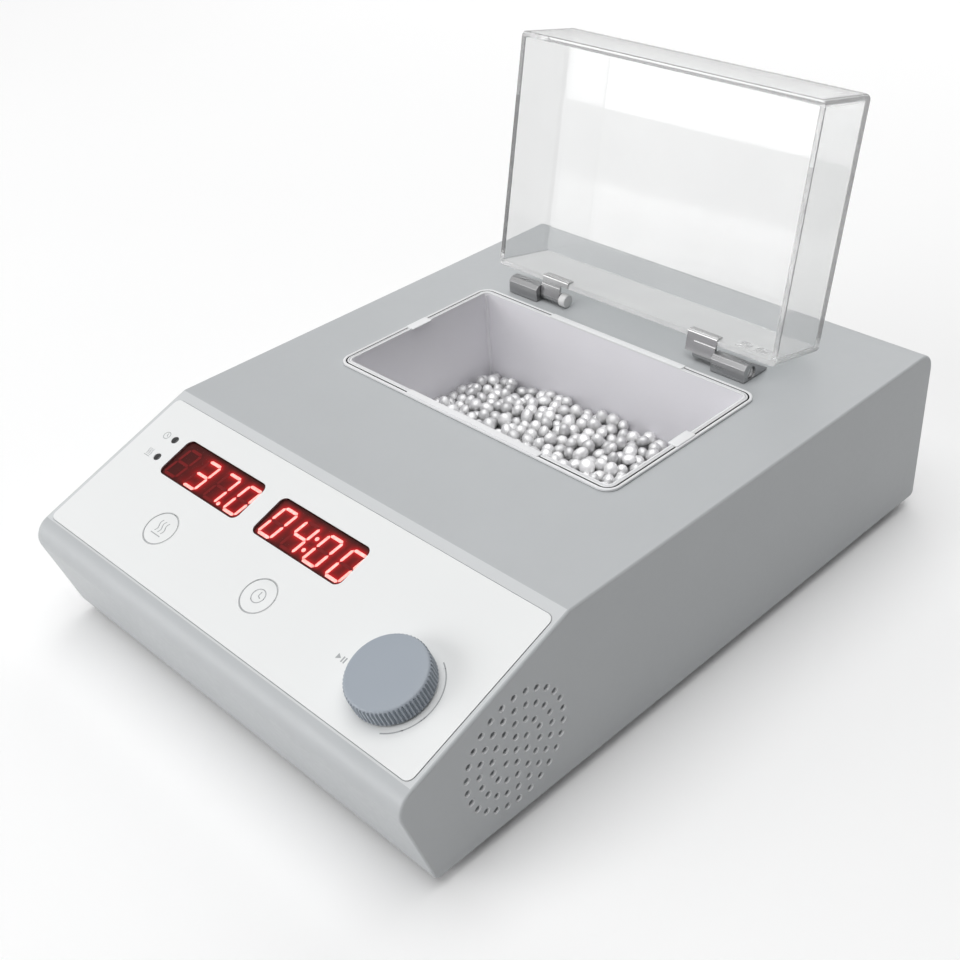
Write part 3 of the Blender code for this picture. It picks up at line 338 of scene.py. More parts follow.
def lathe(name, profile, sides=48, axis="z", place=HERE):
    """A solid of revolution from (radius, height) points; points at radius 0 close it."""
    bm = bmesh.new()
    point = AXIS_POINT[axis]
    angles = [2 * pi * k / sides for k in range(sides)]
    rows = []
    for radius, height in profile:
        used = angles if radius > 0 else angles[:1]
        rows.append([bm.verts.new(point(radius * cos(a), radius * sin(a), height)) for a in used])
    pairs = list(zip(rows, rows[1:]))
    if profile[0][0] > 0:
        pairs.append((rows[-1], rows[0]))
    for lower, upper in pairs:
        for k in range(sides):
            n = (k + 1) % sides
            corners = [lower[k % len(lower)], lower[n % len(lower)]]
            corners += [upper[n % len(upper)], upper[k % len(upper)]]
            bm.faces.new(list(dict.fromkeys(corners)))
    return from_bmesh(name, bm, place)


def loft(name, rings, place=HERE, caps=(False, False), ring_closed=False):
    """A skin through rings of equally many (x, y, z) points."""
    bm = bmesh.new()
    rows = [[bm.verts.new(p) for p in ring] for ring in rings]
    pairs = list(zip(rows, rows[1:]))
    if ring_closed:
        pairs.append((rows[-1], rows[0]))
    for lower, upper in pairs:
        wrap(bm, lower, upper)
    if caps[0]:
        bm.faces.new(rows[0])
    if caps[1]:
        bm.faces.new(rows[-1])
    return from_bmesh(name, bm, place)


def carve(target, cutters, operation="DIFFERENCE"):
    """Applies exact Booleans and removes the cutters."""
    for tool in cutters:
        step = target.modifiers.new(tool.name, "BOOLEAN")
        step.operation = operation
        step.solver = "EXACT"
        step.object = tool
    bpy.context.view_layer.update()
    graph = bpy.context.evaluated_depsgraph_get()
    mesh = bpy.data.meshes.new_from_object(target.evaluated_get(graph))
    target.modifiers.clear()
    target.data = mesh
    mesh.shade_smooth()
    mesh.set_sharp_from_angle(angle=CARVED_SHARP_ANGLE)
    for tool in cutters:
        bpy.data.objects.remove(tool)
    return target


def even_normals(piece):
    """Keeps large flat faces flat beside their small rounded edges."""
    piece.modifiers.new("even_normals", "WEIGHTED_NORMAL").keep_sharp = True


def paint(piece, index, chosen):
    """Gives the chosen faces another of the piece's materials."""
    for face in piece.data.polygons:
        if chosen(face):
            face.material_index = index


def bars(name, centres, radius, low, high, axis="z", place=HERE, sides=24, end=None):
    """One cutter of equal round bars, or of cones that narrow to the end radius."""
    bm = bmesh.new()
    point = AXIS_POINT[axis]
    for u, v in centres:
        rings = []
        for w, r in ((low, radius), (high, end or radius)):
            rings.append([bm.verts.new(point(a, b, w)) for a, b in circle((u, v), r, sides)])
        bm.faces.new(rings[0])
        bm.faces.new(rings[1])
        wrap(bm, *rings)
    return from_bmesh(name, bm, place)


# ---- materials
class Shader:
    """A small builder for one material's node tree."""

    def __init__(self, name):
        self.material = bpy.data.materials.new(name)
        self.material.use_nodes = True
        self.tree = self.material.node_tree
        self.main = self.tree.nodes["Principled BSDF"]
        self.out = self.tree.nodes["Material Output"]
        self.place = self.add("ShaderNodeTexCoord")

    def add(self, kind, inputs=(), **settings):
        node = self.tree.nodes.new(kind)
        for key, value in settings.items():
            setattr(node, key, value)
        for key, value in inputs:
            node.inputs[key].default_value = value
        return node

    def link(self, source, target):
        self.tree.links.new(source, target)

    def drive(self, name, source):
        """Feeds a texture into one of the main shader's inputs."""
        self.link(source, self.main.inputs[name])

    def noise(self, scale, detail=3.0, stretch=None):
        made = self.add("ShaderNodeTexNoise", [("Scale", scale), ("Detail", detail)])
        source = self.place.outputs["Object"]
        if stretch:
            mapping = self.add("ShaderNodeMapping", [("Scale", stretch)])
            self.link(source, mapping.inputs["Vector"])
            source = mapping.outputs["Vector"]
        self.link(source, made.inputs["Vector"])
        return made.outputs["Fac"]

    def spread(self, source, low, high):
        """Maps a noise's middle range to low..high."""
        ends = [("From Min", 0.3), ("From Max", 0.7), ("To Min", low), ("To Max", high)]
        made = self.add("ShaderNodeMapRange", ends)
        self.link(source, made.inputs["Value"])
        return made.outputs["Result"]

    def blend(self, factor, first, second):
        """A colour mix; each colour is a triple or a socket."""
        made = self.add("ShaderNodeMix", data_type="RGBA")
        self.link(factor, made.inputs["Factor"])
        for socket, colour in (("A", first), ("B", second)):
            target = [i for i in made.inputs if i.name == socket and i.type == "RGBA"][0]
            if isinstance(colour, tuple):
                target.default_value = (*colour, 1.0)
            else:
                self.link(colour, target)
        return [o for o in made.outputs if o.type == "RGBA"][0]

    def bump(self, height, distance, strength=1.0):
        made = self.add("ShaderNodeBump", [("Distance", distance), ("Strength", strength)])
        self.link(height, made.inputs["Height"])
        self.drive("Normal", made.outputs["Normal"])

    def closure(self, kind, colour):
        """A plain second shader of one colour."""
        return self.add(kind, [("Color", (*colour, 1.0))]).outputs["BSDF"]

    def mix(self, factor, first, second):
        made = self.add("ShaderNodeMixShader")
        self.link(factor, made.inputs["Fac"])
        self.link(first, made.inputs[1])
        self.link(second, made.inputs[2])
        return made.outputs["Shader"]

    def set(self, **values):
        for name, value in values.items():
            self.main.inputs[name.replace("_", " ")].default_value = value


def shade(colour, factor):
    return tuple(min(1.0, c * factor) for c in colour)


def moulded(name, colour, roughness, grain=0.00001, grain_scale=2600, mottle=0.03, gloss=0.5):
    """Moulded or painted surface: faint mottling, fine grain, uneven gloss."""
    s = Shader(name)
    cloud = s.noise(28, 4)
    s.drive("Base Color", s.blend(cloud, shade(colour, 1 - mottle), shade(colour, 1 + mottle)))
    s.drive("Roughness", s.spread(s.noise(420, 4), roughness - 0.04, roughness + 0.05))
    s.bump(s.noise(grain_scale, 2), grain)
    s.set(Specular_IOR_Level=gloss)
    return s.material


def brushed(name, colour, roughness, stretch=(30, 2600, 2600), depth=0.000012, contrast=0.14):
    """Metal with fine lines along the long direction of the stretch."""
    s = Shader(name)
    s.set(Metallic=1.0)
    lines = s.noise(1, 3, stretch)
    dark, pale = shade(colour, 1 - contrast), shade(colour, 1 + 0.6 * contrast)
    s.drive("Base Color", s.blend(s.spread(lines, 0, 1), dark, pale))
    s.drive("Roughness", s.spread(lines, roughness - 0.3 * contrast, roughness + 0.7 * contrast))
    s.bump(lines, depth)
    return s.material


def clear_plastic(name, tint, roughness, veiling):
    """Clear acrylic with a thin veil, which lets lamps and daylight reach what lies behind."""
    s = Shader(name)
    s.set(Base_Color=(*tint, 1.0), IOR=1.49, Transmission_Weight=1.0)
    s.drive("Roughness", s.spread(s.noise(90, 3), roughness * 0.6, roughness * 1.6))
    s.bump(s.noise(24, 2), 0.00001, 0.25)
    passing = s.closure("ShaderNodeBsdfTransparent", shade(tint, 0.97))
    path = s.add("ShaderNodeLightPath")
    either = s.add("ShaderNodeMath", operation="MAXIMUM")
    s.link(path.outputs["Is Shadow Ray"], either.inputs[0])
    s.link(path.outputs["Is Diffuse Ray"], either.inputs[1])
    veil = s.closure("ShaderNodeBsdfDiffuse", (0.80, 0.80, 0.80))
    thickness = s.spread(s.noise(14, 2), veiling * 0.8, veiling * 1.2)
    hazy = s.mix(thickness, s.main.outputs["BSDF"], veil)
    s.link(s.mix(either.outputs[0], hazy, passing), s.out.inputs["Surface"])
    return s.material


def tinted_cover(name):
    """Thin red filter over a display: passes what is behind it, with a faint gloss."""
    s = Shader(name)
    s.drive("Roughness", s.spread(s.noise(160, 3), 0.10, 0.20))
    s.bump(s.noise(40, 2), 0.000004, 0.3)
    s.set(Base_Color=(0.02, 0.0, 0.0, 1.0), IOR=1.30, Specular_IOR_Level=0.35)
    passing = s.closure("ShaderNodeBsdfTransparent", (0.99, 0.80, 0.79))
    gloss = s.add("ShaderNodeLayerWeight", [("Blend", 0.12)])
    mixed = s.mix(gloss.outputs["Fresnel"], passing, s.main.outputs["BSDF"])
    s.link(mixed, s.out.inputs["Surface"])
    return s.material


def glowing(name, colour, core, strength):
    """Lit segment: paler and brighter in patches along its middle."""
    s = Shader(name)
    patch = s.noise(900, 2)
    s.drive("Emission Color", s.blend(s.spread(patch, 0.2, 0.9), colour, core))
    s.set(Base_Color=(0.3, 0.02, 0.02, 1.0), Emission_Strength=strength, Roughness=0.4)
    return s.material


def lit_backing(name):
    """Display backing whose red glow follows the mesh's glow attribute."""
    s = Shader(name)
    glow = s.add("ShaderNodeAttribute", attribute_name="glow")
    s.drive("Base Color", s.blend(s.noise(500, 3), (0.012, 0.002, 0.002), (0.020, 0.004, 0.004)))
    s.drive("Emission Color", s.blend(glow.outputs["Fac"], (0.006, 0.0, 0.0), (0.62, 0.004, 0.012)))
    s.set(Emission_Strength=1.0, Roughness=0.5)
    return s.material


def bead_metal(name):
    """Satin aluminium pebbles, each with its own tone."""
    s = Shader(name)
    s.set(Metallic=0.60)
    tone = s.add("ShaderNodeAttribute", attribute_name="tone")
    s.drive("Base Color", s.blend(tone.outputs["Fac"], (0.58, 0.58, 0.585), (0.88, 0.88, 0.88)))
    s.drive("Roughness", s.spread(s.noise(500, 3), 0.42, 0.60))
    s.bump(s.noise(420, 4), 0.00045, 0.8)
    return s.material


ACRYLIC_TINT = (0.985, 0.99, 0.99)
SATIN = (60, 1500, 1500)


def make_materials():
    return {
        "case": moulded("case_satin", (0.452, 0.468, 0.480), 0.44),
        # painted light: a paler copy of the case's paint for the plane round the film, standing in
        # for the light that plane catches
        "brow": moulded("case_satin_painted_lit", (0.585, 0.60, 0.61), 0.44),
        "film": moulded("panel_film", (0.79, 0.80, 0.80), 0.34, 0.000004, 1800, 0.01),
        "print": moulded("grey_print", (0.36, 0.37, 0.38), 0.45, 0.000002),
        "rim": moulded("rim_plastic", (0.80, 0.805, 0.815), 0.33, 0.000006),
        # near black for the groove round the well: a gasket's colour, and painted shade on the
        # groove's walls
        "gasket_and_groove_shade": moulded("rim_gasket_and_groove_shade", (0.035, 0.035, 0.037), 0.7, 0.00002, gloss=0.2),
        "tray": moulded("tray_plastic", (0.90, 0.89, 0.925), 0.40, 0.000008),
        "knob": moulded("knob_plastic", (0.31, 0.345, 0.39), 0.42, 0.000012),
        "black": moulded("black_plastic", (0.018, 0.018, 0.019), 0.40, 0.000014, 2400, 0.2),
        "rubber": moulded("foot_rubber", (0.022, 0.022, 0.022), 0.75, 0.00003, 1500, 0.2),
        "lens": moulded("lamp_lens", (0.012, 0.012, 0.013), 0.12, 0.000002, 900, 0.2),
        "steel": brushed("clip_steel", (0.44, 0.44, 0.44), 0.22, SATIN, 0.000001, 0.03),
        "block_steel": brushed("hinge_steel", (0.40, 0.40, 0.405), 0.28, SATIN, 0.000001, 0.04),
        "pin_steel": brushed("pin_steel", (0.78, 0.78, 0.78), 0.18, (900, 60, 60)),
        "pin_head": moulded("satin_pin_head", (0.78, 0.78, 0.78), 0.38, 0.000006),
        "zinc": brushed("plated_screw", (0.70, 0.70, 0.68), 0.28),
        "base": moulded("base_coat", (0.30, 0.31, 0.32), 0.5, 0.00003, 1400),
        "aluminium": brushed("block_aluminium", (0.78, 0.79, 0.80), 0.33),
        "brass": brushed("brass", (0.75, 0.58, 0.28), 0.3),
        "beads": bead_metal("bead_metal"),
        "clear": clear_plastic("clear_acrylic", ACRYLIC_TINT, 0.015, 0.13),
        "veiled": clear_plastic("veiled_acrylic", ACRYLIC_TINT, 0.015, 0.42),
        "etched": clear_plastic("etched_acrylic", ACRYLIC_TINT, 0.12, 0.35),
        "window": tinted_cover("display_cover"),
        "backing": lit_backing("display_backing"),
        "digit": glowing("lit_segment", (1.0, 0.46, 0.40), (1.0, 0.88, 0.84), 1.5),
        "ghost": moulded("unlit_segment", (0.17, 0.022, 0.026), 0.5),
        "board": moulded("solder_mask", (0.015, 0.10, 0.045), 0.35, 0.00002, 900, 0.15),
        "silicone": moulded("heater_silicone", (0.40, 0.08, 0.04), 0.6, 0.00002),
        "felt": moulded("fibre_jacket", (0.72, 0.71, 0.67), 0.9, 0.0002, 1200, 0.1),
        "cable": moulded("cable_sheath", (0.62, 0.62, 0.60), 0.5, 0.00002),
        "filter": moulded("filter_foam", (0.006, 0.006, 0.006), 0.95, 0.0003, 900, 0.4, 0.1),
        "contact": brushed("contact_pins", (0.80, 0.78, 0.72), 0.22),
    }


# ---- case
def case_outline():
    """The corners of the case's side outline, and the radius of each."""
    corners = [
        (FRONT_Y + UNDERCUT, CASE_BOTTOM),
        (REAR_Y, CASE_BOTTOM),
        (REAR_Y, CASE_TOP),
        (BROW_Y, CASE_TOP),
        (FRONT_Y, CASE_BOTTOM + NOSE_H),
    ]
    return corners, [CASE_CORNER, CASE_CORNER, REAR_CORNER, CASE_CORNER, NOSE_CORNER]


def vent_centres():
    """The vent holes: one in the middle, then rings of them."""
    centres = [(VENT_Y, VENT_Z)]
    for ring, (count, turn) in enumerate(VENT_RINGS, 1):
        for k in range(count):
            a = 2 * pi * (k + turn) / count
            radius = VENT_PITCH * ring
            centres.append((VENT_Y + radius * cos(a), VENT_Z + radius * sin(a)))
    return centres


def hollow_outline():
    """The case's inside, a wall's thickness in from each side and open below."""
    corners, _ = case_outline()
    insets = [-0.01, WALL, WALL, WALL, WALL]
    sides = []
    for i, corner in enumerate(corners):
        a = Vector(corner)
        along = (Vector(corners[(i + 1) % len(corners)]) - a).normalized()
        sides.append((a + Vector((-along.y, along.x)) * insets[i], along))
    moved = []
    for i in range(len(sides)):
        point, along = sides[i - 1]
        other, next_along = sides[i]
        step = (other - point).cross(next_along) / along.cross(next_along)
        moved.append(tuple(point + along * step))
    return rounded(moved, [0, 0, 0.005, 0, 0.005], 6)


def panel_box(name, x, s, z, corner=0.0, edge=0.0):
    return slab(name, x, (-s[1], -s[0]), z, PANEL, edge, corner)


def panel_bars(name, centres, radius, low, high, sides=40):
    return bars(name, [(x, -s) for x, s in centres], radius, low, high, "z", PANEL, sides)


def panel_cutters(key_r, lamp_r, knob_r, z, corner, sides=40):
    """Cutters for the keys, lamps, knob and display windows."""
    keys = [(x, KEY_S) for x in KEY_X.values()]
    lamps = [(LED_X, s) for s in LED_S.values()]
    tools = [
        panel_bars("cut_keys", keys, key_r, *z, sides),
        panel_bars("cut_lamps", lamps, lamp_r, *z),
        panel_bars("cut_knob", [(KNOB_X, KNOB_S)], knob_r, *z),
    ]
    for side, x in DISPLAY_X.items():
        tools.append(panel_box(f"cut_window_{side}", x, DISPLAY_S, z, corner))
    return tools


def beside_film(face):
    """Whether a face of the case lies in the plane round the film."""
    slope = PANEL.to_3x3() @ Vector((0, 0, 1))
    off_plane = abs((face.center - PANEL.translation).dot(slope))
    return face.normal.dot(slope) > 0.9995 and off_plane < 0.00005


# These faces are painted in the paler rim plastic, a painted highlight for the lit far walls of the
# holes.
def vent_mouth_painted_pale(face):
    """Whether a face of the case is part of a vent hole's flared mouth."""
    x, y, z = face.center
    near = hypot(y - VENT_Y, z - VENT_Z) < VENT_FIELD_R - 0.001
    deep = CASE_W / 2 - abs(x)
    return near and 0.00001 < deep < VENT_MOUTH_DEPTH + 0.0001 and abs(face.normal.x) < 0.95


def build_case(looks):
    corners, radii = case_outline()
    half = CASE_W / 2
    outline = rounded(corners, radii, 14)
    shell = prism("case_shell", outline, -half, half, "x", edge=SIDE_EDGE, steps=4)
    x, y = RIM_HALF[0] - RIM_LIP + FIT, RIM_HALF[1] - RIM_LIP + FIT
    opening = rectangle(-x, x, WELL_Y - y, WELL_Y + y)
    across = (-FILM_W / 2 - FIT, FILM_W / 2 + FIT)
    down = (FILM_S[0] - FIT, FILM_S[1] + FIT)
    tools = [
        prism("cut_hollow", hollow_outline(), WALL - half, half - WALL, "x"),
        prism("cut_well", rounded(opening, 0.005), CASE_TOP - 0.01, CASE_TOP + 0.01),
        panel_box("cut_recess", across, down, (-FILM_SUNK - FIT, 0.004), 0.003),
    ]
    tools += panel_cutters(KEY_R + 0.0003, LED_R + FIT, BUSH_HOLE_R, (-0.01, 0.004), 0.0022)
    holes = vent_centres()
    for side, sign in SIDES:
        ends = mirrored((half - 0.006, half + 0.004), sign)
        tools.append(bars(f"cut_vents_{side}", holes, VENT_HOLE_R, *ends, "x"))
    for side, sign in SIDES:
        ends = (sign * (half + 0.0001), sign * (half - VENT_MOUTH_DEPTH))
        narrow = VENT_HOLE_R - 0.0001
        tools.append(bars(f"cut_mouths_{side}", holes, VENT_MOUTH_R, *ends, "x", end=narrow))
    for name, x, (w, h) in (("inlet", INLET_X, INLET_HALF), ("switch", SWITCH_X, SWITCH_HALF)):
        through = (REAR_Y - 0.01, REAR_Y + 0.01)
        tools.append(slab(f"cut_{name}", (x - w, x + w), through, (FITTING_Z - h, FITTING_Z + h)))
    carve(shell, tools)
    even_normals(shell)
    dress(shell, [looks["case"], looks["rim"], looks["brow"]], "case", "housing")
    # Painted highlight: the flared vent mouths take the paler rim plastic, standing in for light on
    # the holes' far walls.
    paint(shell, 1, vent_mouth_painted_pale)
    # Painted light: the plane round the film gets the paler copy of the case's paint, for the light
    # it catches.
    paint(shell, 2, beside_film)
    for side, sign in SIDES:
        behind = mirrored((half - WALL - 0.0013, half - WALL - 0.0003), sign)
        disc = circle((VENT_Y, VENT_Z), VENT_FIELD_R, 48)
        pad = prism(f"vent_filter_{side}", disc, *behind, "x", edge=0.0003, steps=2)
        dress(pad, [looks["filter"]], "case")


def build_feet(looks):
    names = ("front_left", "rear_left", "front_right", "rear_right")
    for name, (x, y) in zip(names, SCREW_PLACES):
        place = Matrix.Translation((x, y, 0))
        foot = lathe(
            f"foot_pad_{name}",
            [(0.0021, 0.0047), (0.0021, 0.0024), (0.0042, 0.0024), (0.0042, 0.0004)]
            + [(0.0045, 0.0001), (0.0050, 0.0), (0.0058, 0.0), (0.0063, 0.0002)]
            + [(0.0067, 0.0007), (0.0071, 0.0020), (0.0075, 0.0044), (0.0074, 0.0047)],
            sides=40,
            place=place,
        )
        dress(foot, [looks["rubber"]], "case", f"foot_{name}")


# ---- panel
def build_film(looks):
    across = (-FILM_W / 2, FILM_W / 2)
    film = panel_box("panel_film", across, FILM_S, (-FILM_SUNK, FILM_TOP), 0.0028, FILM_EDGE)
    through = (-0.002, 0.002)
    carve(film, panel_cutters(KEY_R + 0.00012, LED_R + FIT / 2, SHAFT_HOLE_R, through, 0.0030, 72))
    even_normals(film)
    dress(film, [looks["film"]], "case", "front_overlay")


class Ink:
    """Collects flat printed marks on the film as one thin mesh."""

    def __init__(self, top):
        self.bm = bmesh.new()
        self.top = top

    def patch(self, points):
        low = [self.bm.verts.new((x, y, self.top)) for x, y in points]
        high = [self.bm.verts.new((x, y, self.top + PRINT_T)) for x, y in points]
        self.bm.faces.new(low[::-1])
        self.bm.faces.new(high)
        wrap(self.bm, low, high)

    def stroke(self, path, width, closed=False):
        """A line of even width along a path."""
        points = [Vector(p) for p in path]
        count = len(points)
        inner, outer = [], []
        for i, p in enumerate(points):
            if closed:
                along = points[(i + 1) % count] - points[i - 1]
            else:
                along = points[min(i + 1, count - 1)] - points[max(i - 1, 0)]
            side = Vector((-along.y, along.x)).normalized() * (width / 2)
            inner.append(p + side)
            outer.append(p - side)
        for i in range(count if closed else count - 1):
            n = (i + 1) % count
            self.patch([inner[i], outer[i], outer[n], inner[n]])

    def ring(self, centre, radius, width, steps=72):
        self.stroke(circle(centre, radius, steps), width, closed=True)

    def disc(self, centre, radius, steps=20):
        self.patch(circle(centre, radius, steps))

    def finish(self, name, place):
        bmesh.ops.remove_doubles(self.bm, verts=self.bm.verts, dist=1e-7)
        return from_bmesh(name, self.bm, place)


def heat_icon(ink, centre, size, width):
    """Three rising wavy lines over a bar."""
    x0, y0 = centre
    for k in (-1, 0, 1):
        wave = []
        for i in range(17):
            t = i / 16
            x = x0 + size * (0.34 * k + 0.09 * sin(2 * pi * t))
            wave.append((x, y0 + size * (0.90 * t - 0.32)))
        ink.stroke(wave, width)
    ink.stroke([(x0 - size * 0.5, y0 - size * 0.52), (x0 + size * 0.5, y0 - size * 0.52)], width)


def timer_icon(ink, centre, size, width):
    """A plain clock face with two hands."""
    ink.ring(centre, size * 0.5, width, 40)
    x0, y0 = centre
    ink.stroke([(x0, y0), (x0, y0 + size * 0.34)], width)
    ink.stroke([(x0, y0), (x0 + size * 0.24, y0 - size * 0.10)], width)


def build_print(looks):
    """Printed marks: lamp symbols, the knob's arc, play and pause, and the keys' symbols."""
    ink = Ink(FILM_TOP)
    for name, icon in (("timer", timer_icon), ("heat", heat_icon)):
        icon(ink, (LED_X - 0.0054, -LED_S[name]), LAMP_ICON, 0.00030)
    ink.stroke(arc((KNOB_X, -KNOB_S), KNOB_ARC_R, KNOB_ARC_TURN, -KNOB_ARC_TURN, 60), 0.00045)
    x0, y0 = KNOB_X - 0.0254, -KNOB_S - 0.0036
    y1 = y0 + PLAY_MARK_H
    ink.patch([(x0, y0), (x0 + 0.0019, y0 + PLAY_MARK_H / 2), (x0, y1)])
    ink.patch(rectangle(x0 + 0.0025, x0 + 0.0031, y0, y1))
    ink.patch(rectangle(x0 + 0.0036, x0 + 0.0042, y0, y1))
    dress(ink.finish("panel_print", PANEL), [looks["print"]], "case")
    for name, icon in (("heat", heat_icon), ("timer", timer_icon)):
        centre = (KEY_X[name], -KEY_S)
        ink = Ink(FILM_TOP)
        ink.ring(centre, KEY_R - 0.00028, 0.00036, 96)
        icon(ink, centre, KEY_ICON, 0.00038)
        marks = ink.finish(f"{name}_key_print", PANEL)
        dress(marks, [looks["print"]], f"{name}_key")


def build_keys(looks):
    for name, x in KEY_X.items():
        place = PANEL @ Matrix.Translation((x, -KEY_S, 0))
        key = lathe(
            f"{name}_key_cap",
            [(0, -0.0075), (LED_R, -0.0075), (LED_R, -FILM_SUNK), (KEY_R, -FILM_SUNK)]
            + [(KEY_R, FILM_TOP - FILM_EDGE), (KEY_R - 0.00004, FILM_TOP - 0.00003)]
            + [(KEY_R - FILM_EDGE, FILM_TOP), (0, FILM_TOP)],
            sides=72,
            place=place,
        )
        dress(key, [looks["film"]], f"{name}_key", f"{name}_key")


def build_lamps(looks):
    for name, s in LED_S.items():
        place = PANEL @ Matrix.Translation((LED_X, -s, 0))
        angles = [k * pi / 12 for k in range(6)]
        dome = [(LED_R * cos(a), FILM_TOP - 0.0001 + 0.0003 * sin(a)) for a in angles]
        profile = [(0, -0.0127), (LED_R, -0.0127), *dome, (0, FILM_TOP + 0.0002)]
        lens = lathe(f"{name}_lamp", profile, sides=32, place=place)
        dress(lens, [looks["lens"]], "case", f"{name}_indicator")


# ---- displays
def segment_outlines(middle):
    """The seven slanted bars of a digit, as six-sided outlines by letter."""
    w, h, t = DIGIT_W / 2 - SEGMENT_T / 2, DIGIT_H / 2 - SEGMENT_T / 2, SEGMENT_T / 2
    ends = {
        "a": ((-w, h), (w, h)),
        "b": ((w, h), (w, 0)),
        "c": ((w, 0), (w, -h)),
        "d": ((-w, -h), (w, -h)),
        "e": ((-w, 0), (-w, -h)),
        "f": ((-w, h), (-w, 0)),
        "g": ((-w, 0), (w, 0)),
    }
    made = {}
    for letter, (p, q) in ends.items():
        p, q = Vector(p), Vector(q)
        along = (q - p).normalized()
        side = Vector((-along.y, along.x)) * t * (0.94 if letter == "g" else 1.0)
        p, q = p + along * SEGMENT_GAP, q - along * SEGMENT_GAP
        near, far = p + along * t, q - along * t
        flat = [p, near + side, far + side, q, far - side, near - side]
        made[letter] = [(middle + c.x + SLANT * c.y, -DIGIT_S + c.y) for c in flat]
    return made


def distance_to(point, outline):
    """How far a point lies from an outline, or 0 inside it."""
    here = Vector(point)
    nearest, inside = 1.0, True
    for i, a in enumerate(outline):
        a, b = Vector(a), Vector(outline[(i + 1) % len(outline)])
        edge = b - a
        t = max(0.0, min(1.0, (here - a).dot(edge) / edge.length_squared))
        nearest = min(nearest, (here - a - edge * t).length)
        if edge.cross(here - a) > 0:
            inside = False
    return 0.0 if inside else nearest


def build_backing(side, shining, looks):
    """A display's dark backing, which glows round the shining outlines."""
    (x0, x1), (low_s, high_s) = DISPLAY_X[side], DISPLAY_S
    across, up = BACKING_GRID
    bm = bmesh.new()
    columns = [x0 + (x1 - x0) * i / across for i in range(across + 1)]
    rows = [-high_s + (high_s - low_s) * j / up for j in range(up + 1)]
    grid = [[bm.verts.new((x, y, BACKING_Z)) for x in columns] for y in rows]
    for j in range(up):
        for i in range(across):
            bm.faces.new((grid[j][i], grid[j][i + 1], grid[j + 1][i + 1], grid[j + 1][i]))
    backing = from_bmesh(f"display_backing_{side}", bm, PANEL)
    glow = backing.data.attributes.new("glow", "FLOAT", "POINT")
    for i, vertex in enumerate(backing.data.vertices):
        nearest = min(distance_to(vertex.co.xy, outline) for outline in shining)
        x, y, _ = vertex.co
        inset = min(x - x0, x1 - x, y + high_s, -low_s - y)
        fade = max(0.0, min(1.0, (inset - 0.0007) / 0.0016))
        glow.data[i].value = fade * (0.30 * exp(-nearest / 0.0035) + 0.70 * exp(-nearest / 0.0007))
    dress(backing, [looks["backing"]], "case")


def build_display(side, looks):
    """The lit and unlit segments, the backing and a tinted cover."""
    first, text = SHOWN[side]
    lit, unlit = Ink(LIT_Z), Ink(UNLIT_Z)
    shining = []
    for k, digit in enumerate(text):
        for letter, outline in segment_outlines(first + k * DIGIT_PITCH).items():
            if letter in SEGMENTS[digit]:
                lit.patch(outline)
                shining.append(outline)
            else:
                unlit.patch(outline)
    colon = first + 1.5 * DIGIT_PITCH
    dots = {
        "left": [(first + 2.42 * DIGIT_PITCH - 0.0006, -DIGIT_S - 0.0058)],
        "right": [(colon + SLANT * dy, -DIGIT_S + dy) for dy in (0.0027, -0.0033)],
    }
    for dot in dots[side]:
        lit.disc(dot, DOT_R)
        shining.append(arc(dot, DOT_R, 360, 0, 12)[:-1])
    for ink, name, look in ((lit, "digits", "digit"), (unlit, "dark_segments", "ghost")):
        dress(ink.finish(f"{name}_{side}", PANEL), [looks[look]], "case")
    build_backing(side, shining, looks)

    gap = 0.0001
    (x0, x1), (s0, s1) = DISPLAY_X[side], DISPLAY_S
    limits = ((x0 + gap, x1 - gap), (s0 + gap, s1 - gap), (COVER_Z, FILM_TOP))
    cover = panel_box(f"display_cover_{side}", *limits, 0.0028, 0.0001)
    dress(cover, [looks["window"]], "case", f"display_window_{side}")


# ---- knob
def knob_ring(radius, height, depth):
    """One ring round the knob: ribs with flat lands and round valleys, depth deep."""
    points = []
    per_rib = 6
    for k in range(RIBS * per_rib):
        phase = (k % per_rib) / per_rib
        cut = depth * (max(0.0, sin(pi * (phase - 0.34) / 0.66)) if phase > 0.34 else 0.0)
        a = 2 * pi * k / (RIBS * per_rib)
        points.append(((radius - cut) * cos(a), (radius - cut) * sin(a), height))
    return points


def build_knob(looks):
    place = PANEL @ Matrix.Translation((KNOB_X, -KNOB_S, 0))
    low, high = KNOB_BOTTOM, KNOB_BOTTOM + KNOB_H
    section = [
        (KNOB_SOCKET_R, low + 0.0010, 0),
        (KNOB_SOCKET_R, low, 0),
        (KNOB_R - 0.0002, low, 0.0001),
        (KNOB_R, low + 0.0003, RIB_DEPTH),
        (KNOB_R - 0.0001, high - 0.0012, RIB_DEPTH),
        (KNOB_R - 0.00015, high - 0.0010, 0.00062),
        (KNOB_R - 0.0004, high - 0.0007, 0.00016),
        (KNOB_R - 0.0007, high - 0.0003, 0),
        (KNOB_R - 0.0011, high - 0.00008, 0),
        (KNOB_R - 0.0016, high, 0),
        (0.0090, high, 0),
        (0.0030, high, 0),
    ]
    knob = loft("knob_cap", [knob_ring(*ring) for ring in section], place, caps=(True, True))
    dress(knob, [looks["knob"]], "control_knob", "control_knob")


# ---- well
def well_ring(inset, z, corner):
    x, y = RIM_HALF[0] - inset, RIM_HALF[1] - inset
    outline = rounded(rectangle(-x, x, WELL_Y - y, WELL_Y + y), corner)
    return [(u, v, z) for u, v in outline]


